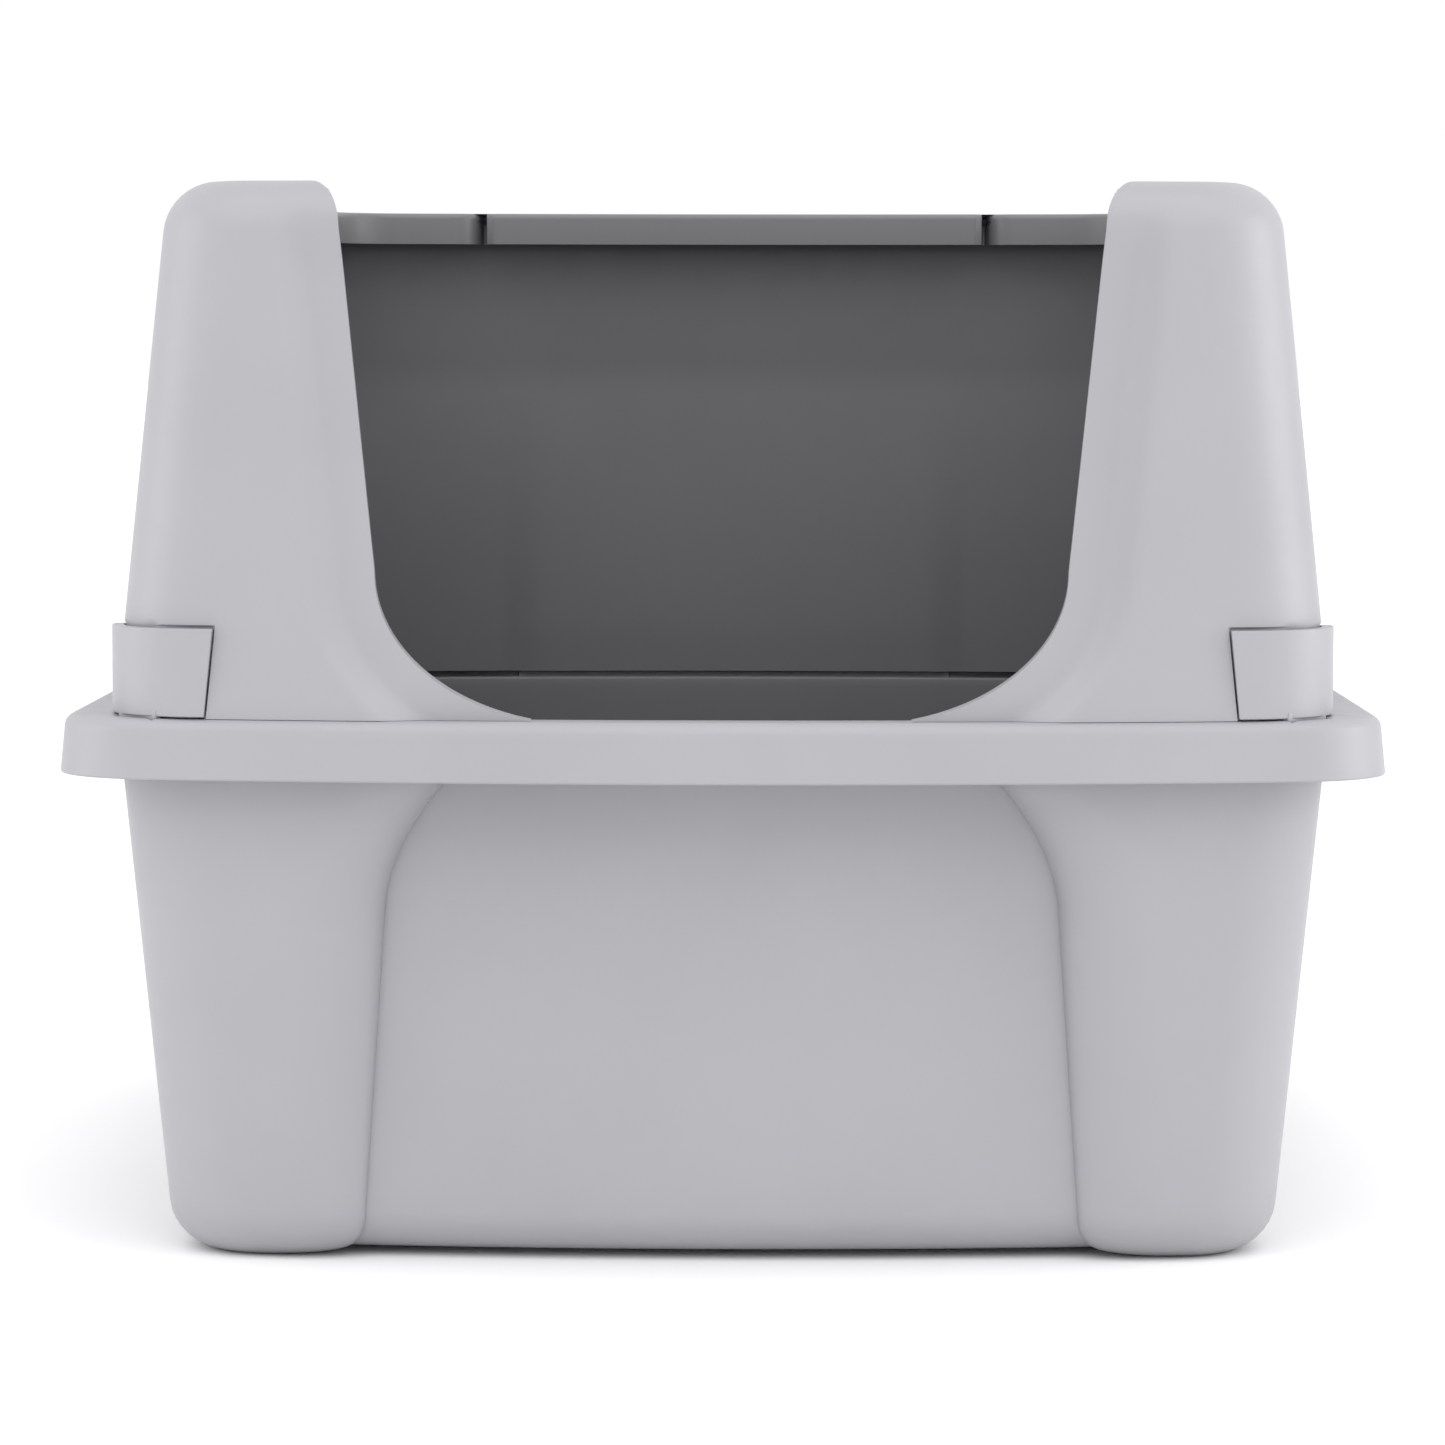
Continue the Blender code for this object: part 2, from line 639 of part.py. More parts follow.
def make_latch(corner, grey):
    """A corner plate on a barrel that turns on a pin in the rim."""
    name = "latch_" + corner[0]
    plate = corner_plate(corner, LATCH_REACH, LATCH_THICKNESS, LATCH_PROUD, LATCH_BOTTOM, LATCH_TOP)
    latch = make_object(name, plate, grey)
    low = HINGE_Z + PIN_RADIUS + 2 * BORE_CLEARANCE
    tongue = hinge_block(corner, LATCH_THICKNESS / 2 - 0.0002, BARREL_LENGTH, low, LATCH_BOTTOM + 0.003)
    add_boolean(latch, make_object("tongue_" + corner[0], tongue, None, True), "UNION")
    barrel = rod(corner, BARREL_RADIUS, BARREL_LENGTH - GAP, 20)
    add_boolean(latch, make_object("barrel_" + corner[0], barrel, None, True), "UNION")
    bore = rod(corner, PIN_RADIUS + BORE_CLEARANCE, BARREL_LENGTH + 0.004, 16)
    add_boolean(latch, make_object("bore_" + corner[0], bore, None, True), "DIFFERENCE")
    point, outward, _ = hinge_frame(corner)
    place_origin(latch, point - outward * LATCH_THICKNESS / 2 + np.array([0.0, 0.0, HINGE_Z]))
    return latch


def place_origin(obj, point):
    """Moves the object's origin, and not its shape, to the point."""
    for vert in obj.data.vertices:
        vert.co = np.array(vert.co) - point
    obj.location = point


# ---------------------------------------------------------------- assembly
def main():
    for obj in list(bpy.data.objects):
        bpy.data.objects.remove(obj, do_unlink=True)
    base_grey = material("light_grey_base", LIGHT_GREY, 0.42)
    frame_grey = material("light_grey_frame", LIGHT_GREY, 0.40)
    latch_grey = material("light_grey_latch", LIGHT_GREY, 0.38)
    pan_grey = material("dark_grey_pan", DARK_GREY, 0.36)
    hood_grey = material("dark_grey_hood", DARK_GREY, 0.38)
    pin_grey = material("grey_pin", PIN_GREY, 0.35)

    make_base(base_grey)
    make_litter_pan(pan_grey)

    pockets = {corner[0]: pocket_cutter(corner) for corner in corners()}
    entry = make_object("entry_cut", entry_cutter(), None, True)
    front_cuts = [entry, pockets["front_left"], pockets["front_right"]]
    rear_cuts = [notch_cutter(-1), notch_cutter(1), pockets["rear_left"], pockets["rear_right"]]
    make_hood_half("front_frame", -0.4, SPLIT_Y, frame_grey, front_cuts)
    make_hood_half("rear_hood", SPLIT_Y + GAP, 0.4, hood_grey, rear_cuts)

    for corner in corners():
        make_latch(corner, latch_grey)
        make_object("latch_pin_" + corner[0], rod(corner, PIN_RADIUS, PIN_LENGTH, 12), pin_grey)


main()
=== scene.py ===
"""The looks of the cat litter box with hood: fine shells, plastics, light and camera round the CAD frame.

Front faces -Y and +Z is up, in metres, as in the frame.
"""

import math

import bmesh
import bpy
import numpy as np
from mathutils import Matrix, Vector


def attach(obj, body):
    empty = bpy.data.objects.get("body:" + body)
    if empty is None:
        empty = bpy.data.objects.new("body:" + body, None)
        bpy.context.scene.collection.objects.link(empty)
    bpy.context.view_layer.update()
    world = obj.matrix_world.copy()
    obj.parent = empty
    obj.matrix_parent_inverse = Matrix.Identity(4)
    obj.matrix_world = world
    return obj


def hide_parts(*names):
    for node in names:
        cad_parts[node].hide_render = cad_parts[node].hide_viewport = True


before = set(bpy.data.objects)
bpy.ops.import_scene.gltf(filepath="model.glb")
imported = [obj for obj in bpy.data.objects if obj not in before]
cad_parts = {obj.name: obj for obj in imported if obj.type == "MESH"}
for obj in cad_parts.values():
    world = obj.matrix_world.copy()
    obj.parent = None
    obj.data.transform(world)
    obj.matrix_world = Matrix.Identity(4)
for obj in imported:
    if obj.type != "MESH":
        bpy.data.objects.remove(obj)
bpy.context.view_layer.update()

# ---------------------------------------------------------------- sizes shared with the CAD model
HALF_WIDTH = 0.205
HALF_LENGTH = 0.260
RIM_TOP = 0.170
HOOD_TOP = 0.3335
WALL = 0.0025
GAP = 0.0004
SEAM = 0.0001  # between the hood's foot and the rim
BOW = 0.487  # curvature of the front and back in plan: depth = BOW * x**2

SKIRT_HEIGHT = 0.0183
SKIRT_FLARE = 0.0018
SKIRT_WALL = 0.0025
RIM_ROUND = 0.0035
RIM_THICKNESS = 0.0065
RIM_CORNER = 0.036

BASE_WIDTH_FLOOR = 0.1727
BASE_LENGTH_FLOOR = 0.2304
BASE_DRAFT = 0.0918
BASE_CORNER = 0.030
FLOOR_ROUND = 0.015
PANEL_LIFT = 0.002
PANEL_HALF_WIDTH = 0.1115
PANEL_TAPER = 0.07
PANEL_NARROWING = 0.0157  # under the rim, between the next two heights
PANEL_NARROWS_FROM = 0.110
PANEL_NARROWEST_AT = 0.149
FRONT_RECESS = 0.008
FRONT_RECESS_GROWTH = 0.06
REAR_RECESS = 0.006
SIDE_RECESS = 0.007
POST_ROUND = 0.027
POST_FOOT = 0.0093
POST_FOOT_HEIGHT = 0.013
RECESS_SLOPE = 0.027
SIDE_PANEL = 0.150
FOOT_INNER = 0.043

HOOD_WIDTH = 0.1875
HOOD_LENGTH = 0.2555
HOOD_LENGTH_REAR = 0.2455
HOOD_ROOT = 0.0075
HOOD_ROOT_TOP = 0.228
INNER_KNEE = 0.270  # below this height the rear hood's inner wall stands nearly upright
HOOD_DRAFT = 0.0823
HOOD_SIDE_DRAFT = 0.099
HOOD_CORNER = 0.030
ROOF_ROUND = 0.015
ROOF = 0.0025
LIP_DEPTH = 0.0118
LIP_WALL = 0.0022
LIP_ROUND = 0.002
SPLIT_Y = -0.150
SEAT_INSET = 0.0080
SEAT_STEP = 0.004
SEAT_WALL = 0.0020
SKIRT_BOTTOM = 0.1547
SKIRT_CLEARANCE = 0.0010

OPENING_SIDE = 0.152
OPENING_BACK = 0.212
OPENING_FRONT = 0.2235
OPENING_CORNER = 0.030
OPENING_WIDEST_Y = 0.150
PILLAR_EDGE = 0.1257

ENTRY_FLAT = 0.040
ENTRY_BEND_X = 0.0652
ENTRY_BEND_Z = 0.0465
ENTRY_SILL = 0.1685
ENTRY_DRAFT = 0.108
ENTRY_POWER = 2.05
ENTRY_FLARE_Z = 0.014
POCKET_MARGIN = 0.0006
INNER_START = 0.0015
SLOT_END_GAP = 0.001
SLOT_LOW = 0.158
SLOT_HIGH = 0.178
BORE_GAP = 0.0003
PIN_CHAMFER = 0.0003
TONGUE_OVERLAP = 0.0006
LATCH_FINE_GAP = 0.0002
FLANGE_WIDTH = 0.011
FLANGE_SLOPE = 0.010
FLANGE_DEPTH = 0.005

PAN_TOP = 0.1527
PAN_CLEARANCE = 0.0066
PAN_WALL = 0.0022
PAN_FLOOR_ROUND = 0.014
PAN_CORNER = 0.040

LATCH_TOP = 0.1975
LATCH_BOTTOM = RIM_TOP + 0.0006
LATCH_THICKNESS = 0.003
LATCH_PROUD = 0.0008
LATCH_REACH = 0.0045
POCKET_TOP = 0.1985
POCKET_DEPTH = 0.0036
POCKET_SLANT = 0.1
LATCH_EDGE = 0.1570
HINGE_Z = 0.1675
PIN_RADIUS = 0.0010
PIN_LENGTH = 0.026
BARREL_RADIUS = 0.0023
BARREL_LENGTH = 0.018
SLOT_HALF_WIDTH = 0.0030

# How finely each run of an outline is divided
CORNER_STEPS = 14
CREASE_STEPS = [-0.0012, -0.0005, 0.0, 0.00005, 0.0002, 0.0005, 0.0010, 0.0017, 0.0026, 0.0038, 0.0052]
CREASE_STEPS += [0.0070, 0.0090, 0.0112, 0.0136, 0.0162, 0.0190, 0.0220, 0.0250]


def smooth(value, start, end):
    """0 below start, 1 above end, and a smooth step between them."""
    t = np.clip((value - start) / (end - start), 0.0, 1.0)
    return t * t * (3.0 - 2.0 * t)


def spaced(start, end, count):
    """count + 1 evenly spaced numbers."""
    return [start + (end - start) * step / count for step in range(count + 1)]


# ---------------------------------------------------------------- plan outlines
END_STATIONS = np.array(spaced(0.0, 0.42, 8)[:-1] + spaced(0.42, 1.0, 34))
SIDE_Y = np.array(
    spaced(-0.19, -0.155, 8) + spaced(-0.15, -0.13, 4) + spaced(-0.12, 0.12, 20) + spaced(0.13, 0.19, 14)
)


SIDE_RUN = slice(len(END_STATIONS) + CORNER_STEPS, len(END_STATIONS) + CORNER_STEPS + len(SIDE_Y))


def corner_centre(half_width, half_length, radius):
    """Where the bowed end meets the corner's arc: (x of the join, angle there, arc's centre)."""
    join_x = half_width - radius
    for _ in range(6):
        angle = math.atan(2.0 * BOW * join_x)
        join_x = half_width - radius + radius * math.sin(angle)
    centre_y = half_length - BOW * join_x**2 - radius * math.cos(angle)
    return join_x, angle, (half_width - radius, centre_y)


def corner_arc(half_width, half_length, radius):
    """The arc alone, from just past its join with the bowed end, in the +X +Y quadrant."""
    _, angle, centre = corner_centre(half_width, half_length, radius)
    turns = [angle + (math.pi / 2 - angle) * step / CORNER_STEPS for step in range(1, CORNER_STEPS + 1)]
    return [(centre[0] + radius * math.sin(turn), centre[1] + radius * math.cos(turn)) for turn in turns]


def end_run(half_length, xs):
    return [(x, half_length - BOW * x * x) for x in xs]


def quarter(half_width, half_length, radius, xs):
    """The end's half from x = 0, then its corner, in the +X +Y quadrant."""
    return end_run(half_length, xs) + corner_arc(half_width, half_length, radius)


def half_outline(half_width, length, radius, rear_length=None, stations=END_STATIONS, front_xs=None):
    """The right half of an outline, from the front centre round to the back centre."""
    rear_length = length if rear_length is None else rear_length
    xs = stations * corner_centre(half_width, length, radius)[0]
    front = [(x, -y) for x, y in quarter(half_width, length, radius, xs if front_xs is None else front_xs)]
    side = [(half_width, y) for y in SIDE_Y]
    back = quarter(half_width, rear_length, radius, xs)
    return np.array(front + side + back[::-1])


def at_height(plan, z):
    """Plan points raised to z, one height or one for each point."""
    return np.column_stack([plan, np.broadcast_to(z, len(plan))])


def inner_of(plan, other):
    """Of two plans with matching points, whichever lies nearer the middle at each point."""
    return np.sign(plan) * np.minimum(abs(plan), abs(other))


def both_halves(row):
    """A full ring from its right half."""
    left = row[1:-1] * np.array([-1.0, 1.0, 1.0])
    return np.vstack([row, left[::-1]])


# ---------------------------------------------------------------- mesh building
def object_from(builder, name):
    bmesh.ops.remove_doubles(builder, verts=builder.verts, dist=1e-7)
    bmesh.ops.recalc_face_normals(builder, faces=builder.faces)
    mesh = bpy.data.meshes.new(name)
    builder.to_mesh(mesh)
    builder.free()
    obj = bpy.data.objects.new(name, mesh)
    bpy.context.scene.collection.objects.link(obj)
    mesh.shade_smooth()
    return obj


def add_grid(builder, rows, wrap=False):
    """Quads over rows of points of equal length; returns the rows of vertices."""
    grid = [[builder.verts.new(point) for point in row] for row in rows]
    count = len(grid[0])
    for lower, upper in zip(grid, grid[1:]):
        for i in range(count if wrap else count - 1):
            j = (i + 1) % count
            builder.faces.new((lower[i], lower[j], upper[j], upper[i]))
    return grid


def bridge(builder, first, second):
    """Quads between two rows of vertices."""
    for i in range(len(first) - 1):
        builder.faces.new((first[i], first[i + 1], second[i + 1], second[i]))


def fill_ring(builder, ring):
    """Closes a mirrored ring with strips across it, so that the flat stays smooth."""
    count = len(ring)
    for i in range(count // 2):
        quad = [ring[i], ring[i + 1], ring[(count - i - 1) % count], ring[(count - i) % count]]
        unique = list(dict.fromkeys(quad))
        if len(unique) > 2:
            builder.faces.new(unique)


def ring_body(name, rows):
    """A closed body through closed rings made from right halves."""
    builder = bmesh.new()
    grid = add_grid(builder, [both_halves(row) for row in rows], wrap=True)
    fill_ring(builder, grid[0])
    fill_ring(builder, grid[-1])
    return object_from(builder, name)


def shell(builder, outer, inner):
    """A closed shell between two open grids of the same size."""
    far = add_grid(builder, outer)
    near = add_grid(builder, inner)
    bridge(builder, far[0], near[0])
    bridge(builder, far[-1], near[-1])
    bridge(builder, [row[0] for row in far], [row[0] for row in near])
    bridge(builder, [row[-1] for row in far], [row[-1] for row in near])


def round_edges(obj, width, segments=3, angle=40):
    bevel = obj.modifiers.new("edges", "BEVEL")
    bevel.width = width
    bevel.segments = segments
    bevel.limit_method = "ANGLE"
    bevel.angle_limit = math.radians(angle)
    bevel.harden_normals = True
    bevel.use_clamp_overlap = True


def mirrored(rows):
    return [row * np.array([-1.0, 1.0, 1.0]) for row in rows]


# ---------------------------------------------------------------- base
def panel_half_width(z):
    """Half-width of the recessed front panel: it narrows under the rim and widens at the feet."""
    rise = (min(z, PANEL_NARROWEST_AT) - PANEL_NARROWS_FROM) / (PANEL_NARROWEST_AT - PANEL_NARROWS_FROM)
    low = 1.0 - min(z, POST_FOOT_HEIGHT) / POST_FOOT_HEIGHT
    straight = PANEL_HALF_WIDTH - PANEL_TAPER * z
    return straight - PANEL_NARROWING * max(0.0, rise) ** 2 + POST_FOOT * (1.0 - math.sqrt(1.0 - low * low))


def front_recess(z):
    """Depth of the front panel behind the posts: the panel stands steeper than they do."""
    return FRONT_RECESS + FRONT_RECESS_GROWTH * z


def base_stations(z):
    """Stations along the base's front at height z, close together at the edge of the panel."""
    join_x = corner_centre(BASE_WIDTH_FLOOR + BASE_DRAFT * z, BASE_LENGTH_FLOOR, BASE_CORNER)[0]
    crease = panel_half_width(z)
    xs = spaced(0.0, crease - 0.002, 11) + [crease + step for step in CREASE_STEPS]
    xs += spaced(xs[-1], join_x, len(END_STATIONS) - len(xs))[1:]
    return np.array(xs) / join_x


def panel_share(plan, z):
    """1 on the recessed end panel, rising in a round to 0 on the posts."""
    past = np.clip((abs(plan[:, 0]) - panel_half_width(z)) / POST_ROUND, 0.0, 1.0)
    return 1.0 - np.sqrt(1.0 - (1.0 - past) ** 2)


def base_outline(z, inset, lift=None):
    """The base's wall at height z, moved inwards by inset; its corners are posts that stand proud."""
    width = BASE_WIDTH_FLOOR + BASE_DRAFT * z
    length = BASE_LENGTH_FLOOR + BASE_DRAFT * z
    stations = base_stations(z)
    reference = half_outline(width, length, BASE_CORNER, stations=stations)
    front = panel_share(reference, z)
    side = 1.0 - smooth(abs(reference[:, 1]), SIDE_PANEL, SIDE_PANEL + RECESS_SLOPE)
    plan = half_outline(width - inset, length - inset, max(BASE_CORNER - inset, 0.006), stations=stations)
    if inset > 0.03:
        plan[SIDE_RUN, 1] *= (length - inset) / length
    plan[:, 1] -= np.sign(plan[:, 1]) * np.where(plan[:, 1] < 0.0, front_recess(z), REAR_RECESS) * front
    plan[:, 0] -= np.sign(plan[:, 0]) * SIDE_RECESS * side
    if lift is None:
        return at_height(plan, z)
    return at_height(plan, lift[0] + lift[1] * np.maximum(front, side))


def skirt_outline(inset, z):
    inset += SKIRT_FLARE * (z - RIM_TOP + SKIRT_HEIGHT) / SKIRT_HEIGHT
    return at_height(half_outline(HALF_WIDTH - inset, HALF_LENGTH - inset, RIM_CORNER - inset), z)


def hood_plan(z, inset, stations=END_STATIONS, front_xs=None):
    taper = HOOD_DRAFT * (z - RIM_TOP) + inset
    return half_outline(
        HOOD_WIDTH - HOOD_SIDE_DRAFT * (z - RIM_TOP) - inset,
        HOOD_LENGTH - taper,
        HOOD_CORNER - inset,
        HOOD_LENGTH_REAR - taper,
        stations,
        front_xs,
    )


def inner_wall(z):
    """The inside of the hood's wall, which is thicker towards its foot."""
    return WALL + HOOD_ROOT * (1.0 - smooth(z, RIM_TOP, HOOD_ROOT_TOP))


def base_rows():
    rows = [
        base_outline(0.0, 0.060, (PANEL_LIFT, 0.0)),
        base_outline(0.0, FOOT_INNER + 0.002, (PANEL_LIFT, 0.0)),
        base_outline(0.0, FOOT_INNER, (0.0, PANEL_LIFT)),
    ]
    for turn in spaced(0.0, math.pi / 2, 8):
        rise = FLOOR_ROUND * (1.0 - math.cos(turn))
        inset = FLOOR_ROUND * (1.0 - math.sin(turn))
        rows.append(base_outline(rise, inset, (rise, PANEL_LIFT * math.cos(turn))))
    under_rim = RIM_TOP - RIM_THICKNESS
    heights = spaced(0.021, 0.105, 14) + spaced(0.109, 0.149, 14)
    for z in heights + [0.157, under_rim]:
        rows.append(base_outline(z, 0.0))
    skirt_bottom = RIM_TOP - SKIRT_HEIGHT
    rows.append(skirt_outline(SKIRT_WALL, under_rim))
    rows.append(skirt_outline(SKIRT_WALL, skirt_bottom + 0.0004))
    rows.append(skirt_outline(SKIRT_WALL - 0.0004, skirt_bottom))
    rows.append(skirt_outline(0.0005, skirt_bottom))
    rows.append(skirt_outline(0.0, skirt_bottom + 0.0005))
    for z in spaced(skirt_bottom + 0.004, RIM_TOP - RIM_ROUND - 0.002, 2):
        rows.append(skirt_outline(0.0, z))
    for turn in spaced(0.0, math.pi / 2, 6):
        inset = RIM_ROUND * (1.0 - math.cos(turn))
        rows.append(skirt_outline(inset, RIM_TOP - RIM_ROUND * (1.0 - math.sin(turn))))
    step = SEAT_INSET - GAP
    rows.append(at_height(hood_plan(RIM_TOP, step - 0.0006), RIM_TOP))
    rows.append(at_height(hood_plan(RIM_TOP, step), RIM_TOP - 0.0006))
    rows.append(at_height(hood_plan(RIM_TOP, step), RIM_TOP - SEAT_STEP))
    for z in (RIM_TOP - SEAT_STEP, 0.157):
        seat = hood_plan(RIM_TOP, SEAT_INSET, base_stations(z))
        rows.append(at_height(inner_of(base_outline(z, WALL)[:, :2], seat), z))
    for z in heights[::-1]:
        rows.append(base_outline(z, WALL))
    floor = PANEL_LIFT + WALL
    for turn in spaced(math.pi / 2, 0.0, 6):
        rise = floor + FLOOR_ROUND * (1.0 - math.cos(turn))
        rows.append(base_outline(rise, WALL + FLOOR_ROUND * (1.0 - math.sin(turn)), (rise, 0.0)))
    return rows


# ---------------------------------------------------------------- litter pan
def pan_plan(z, inset):
    corner = PAN_CORNER - inset
    inset += PAN_CLEARANCE - BASE_DRAFT * z
    width = BASE_WIDTH_FLOOR - SIDE_RECESS - inset
    length = BASE_LENGTH_FLOOR - front_recess(z) - inset
    plan = half_outline(width, length, corner, BASE_LENGTH_FLOOR - REAR_RECESS - inset)
    reach = corner_centre(width, length, corner)[2][1] - 0.001
    plan[SIDE_RUN, 1] *= min(1.0, reach / SIDE_Y[-1])
    return plan


def pan_rows():
    bottom = PANEL_LIFT + WALL + GAP
    rows = []
    for turn in spaced(0.0, math.pi / 2, 8):
        rise = bottom + PAN_FLOOR_ROUND * (1.0 - math.cos(turn))
        rows.append(at_height(pan_plan(rise, PAN_FLOOR_ROUND * (1.0 - math.sin(turn))), rise))
    for z in spaced(0.04, PAN_TOP - 0.004, 5):
        rows.append(at_height(pan_plan(z, 0.0), z))
    half = PAN_WALL / 2
    for turn in spaced(0.0, math.pi, 6):
        inset = half * (1.0 - math.cos(turn))
        z = PAN_TOP - half * (1.0 - math.sin(turn))
        rows.append(at_height(pan_plan(PAN_TOP, inset), z))
    for z in spaced(PAN_TOP - 0.004, 0.04, 5):
        rows.append(at_height(pan_plan(z, PAN_WALL), z))
    for turn in spaced(math.pi / 2, 0.0, 8):
        rise = bottom + PAN_WALL + PAN_FLOOR_ROUND * (1.0 - math.cos(turn))
        inset = PAN_WALL + PAN_FLOOR_ROUND * (1.0 - math.sin(turn))
        rows.append(at_height(pan_plan(rise, inset), rise))
    return rows


# ---------------------------------------------------------------- hood
def entry_half_width(z):
    """Half-width of the entrance at height z."""
    centre_z = ENTRY_SILL + ENTRY_BEND_Z
    if z < centre_z:
        down = (centre_z - z) / ENTRY_BEND_Z
        return ENTRY_FLAT + ENTRY_BEND_X * (1.0 - down**ENTRY_POWER) ** (1 / ENTRY_POWER)
    width = ENTRY_FLAT + ENTRY_BEND_X + ENTRY_DRAFT * (z - centre_z)
    up = max(0.0, z - HOOD_TOP + ENTRY_FLARE_Z) / ENTRY_FLARE_Z
    straight = ENTRY_FLAT + ENTRY_BEND_X + ENTRY_DRAFT * (HOOD_TOP - ENTRY_FLARE_Z - centre_z)
    return min(width, straight) + (PILLAR_EDGE - straight) * (1.0 - math.sqrt(max(0.0, 1.0 - up * up)))


def entry_distance(x, z):
    """Rough distance outside the entrance's edge, positive on the pillars."""
    centre_z = ENTRY_SILL + ENTRY_BEND_Z
    across = np.maximum(abs(x) - ENTRY_FLAT, 0.0)
    if z >= centre_z:
        return across - ENTRY_BEND_X - ENTRY_DRAFT * (z - centre_z)
    down = centre_z - z
    powers = (across / ENTRY_BEND_X) ** ENTRY_POWER + (down / ENTRY_BEND_Z) ** ENTRY_POWER
    size = powers ** (1 / ENTRY_POWER)
    return (size - 1.0) * np.hypot(across, down) / size


def flange_setback(x, z):
    """How far the strip round the entrance lies behind the pillar's face."""
    back = FLANGE_DEPTH * (1.0 - smooth(entry_distance(x, z), FLANGE_WIDTH, FLANGE_WIDTH + FLANGE_SLOPE))
    return back * (1.0 - smooth(z, HOOD_TOP - 2 * ROOF_ROUND, HOOD_TOP))


def pocket_edge(z):
    """Where the latch's pocket begins on the front, at height z."""
    return LATCH_EDGE - 0.0006 - POCKET_SLANT * (z - RIM_TOP)


PILLAR_NEAR = np.array(spaced(0.0, 1.0, 26))


def pillar_xs(z, inset=0.0):
    """x stations across a pillar's face at height z, from the entrance to the corner's arc."""
    edge = entry_half_width(z)
    width = HOOD_WIDTH - HOOD_SIDE_DRAFT * (z - RIM_TOP) - inset
    join_x = corner_centre(width, HOOD_LENGTH, HOOD_CORNER - inset)[0]
    pocket = min(pocket_edge(min(max(z, RIM_TOP), POCKET_TOP)), join_x - 0.0040)
    xs = list(edge + (pocket - edge) * PILLAR_NEAR)
    pocket_end = max(join_x - 0.0016, pocket + 0.001)
    return xs + [pocket + 0.0006] + spaced(pocket + 0.0016, pocket_end + 0.0016, 2)


def pillar_ys(z):
    """y stations along a pillar's side at height z, from the end of the latch's pocket to the seam."""
    centre_y = corner_centre(HOOD_WIDTH, HOOD_LENGTH - HOOD_DRAFT * (z - RIM_TOP), HOOD_CORNER)[2][1]
    foot_y = corner_centre(HOOD_WIDTH, HOOD_LENGTH, HOOD_CORNER)[2][1]
    pocket = max(LATCH_REACH + GAP - foot_y, 0.003 - centre_y)
    return [pocket, pocket + 0.0006] + spaced(pocket + 0.003, SPLIT_Y, 12)


def pillar_plan(z, wall_z, inset):
    """Stations of height z on the wall's outline at wall_z, moved inwards by inset."""
    width = HOOD_WIDTH - HOOD_SIDE_DRAFT * (wall_z - RIM_TOP) - inset
    length = HOOD_LENGTH - HOOD_DRAFT * (wall_z - RIM_TOP) - inset
    front = [(x, -y) for x, y in quarter(width, length, HOOD_CORNER - inset, pillar_xs(z, inset))]
    return np.array(front + [(width, y) for y in pillar_ys(z)])


def pillar_row(z, inset, pocket=0.0):
    """One row of the pillar's wall, from the entrance's edge round the corner to the seam."""
    plan = pillar_plan(z, z, inset)
    plan[:, 1] += flange_setback(plan[:, 0], z) * (plan[:, 1] < -0.2)
    if pocket:
        first = len(PILLAR_NEAR)
        last = len(pillar_xs(z)) + CORNER_STEPS + 1
        plan[first:last] = pillar_plan(z, RIM_TOP, inset + pocket)[first:last]
    return at_height(plan, z)


def thick_row(z):
    """Inner face of the pillar's wall, moved in behind the latch's pocket."""
    row = pillar_row(z, inner_wall(z))
    deep = pillar_plan(z, RIM_TOP, max(inner_wall(z), WALL + POCKET_DEPTH))
    share = np.minimum(smooth(abs(row[:, 0]), 0.140, 0.150), smooth(abs(row[:, 1]), 0.175, 0.190))
    share = share * (1.0 - smooth(z, 0.197, 0.206))
    row[:, :2] += (deep - row[:, :2]) * share[:, None]
    return row


def opening_side_x(y):
    """Half-width of the hole in the roof at y."""
    share = np.clip((y + OPENING_FRONT) / (OPENING_WIDEST_Y + OPENING_FRONT), 0.0, 1.0)
    return PILLAR_EDGE + (OPENING_SIDE - PILLAR_EDGE) * share


def pillar_border(count, grow, z):
    """The roof's edge on a pillar, from the entrance back to the seam."""
    ys = np.linspace(BOW * PILLAR_EDGE**2 - OPENING_FRONT, SPLIT_Y, count)
    return np.column_stack([opening_side_x(ys) + grow, ys, np.full(count, z)])


def pillar_sheets():
    foot = RIM_TOP + SEAM
    pocket_rows = spaced(foot, 0.180, 10) + spaced(0.182, POCKET_TOP - 0.0006, 8)
    plain_rows = spaced(POCKET_TOP, 0.2155, 8) + spaced(0.219, HOOD_TOP - ROOF_ROUND, 26)
    outer = [pillar_row(z, 0.0, POCKET_DEPTH) for z in pocket_rows]
    outer += [pillar_row(z, 0.0) for z in plain_rows]
    inner = [thick_row(z) for z in pocket_rows + plain_rows]
    inner_round = ROOF_ROUND - WALL
    for turn in spaced(0.0, math.pi / 2, 10)[1:]:
        lean = 1.0 - math.cos(turn)
        outer.append(pillar_row(HOOD_TOP - ROOF_ROUND * (1.0 - math.sin(turn)), ROOF_ROUND * lean))
        inner.append(
            pillar_row(HOOD_TOP - ROOF - inner_round * (1.0 - math.sin(turn)), WALL + inner_round * lean)
        )
    count = len(outer[0])
    for turn in spaced(0.0, math.pi / 2, 4):
        grow = LIP_ROUND * (1.0 - math.sin(turn))
        z = HOOD_TOP - LIP_ROUND * (1.0 - math.cos(turn))
        outer.append(pillar_border(count, grow, z))
        inner.append(pillar_border(count, LIP_WALL + grow * 0.2, min(HOOD_TOP - ROOF, z - 0.0002)))
    outer.append(pillar_border(count, 0.0, HOOD_TOP - LIP_DEPTH))
    inner.append(pillar_border(count, LIP_WALL, HOOD_TOP - LIP_DEPTH))
    return outer, inner


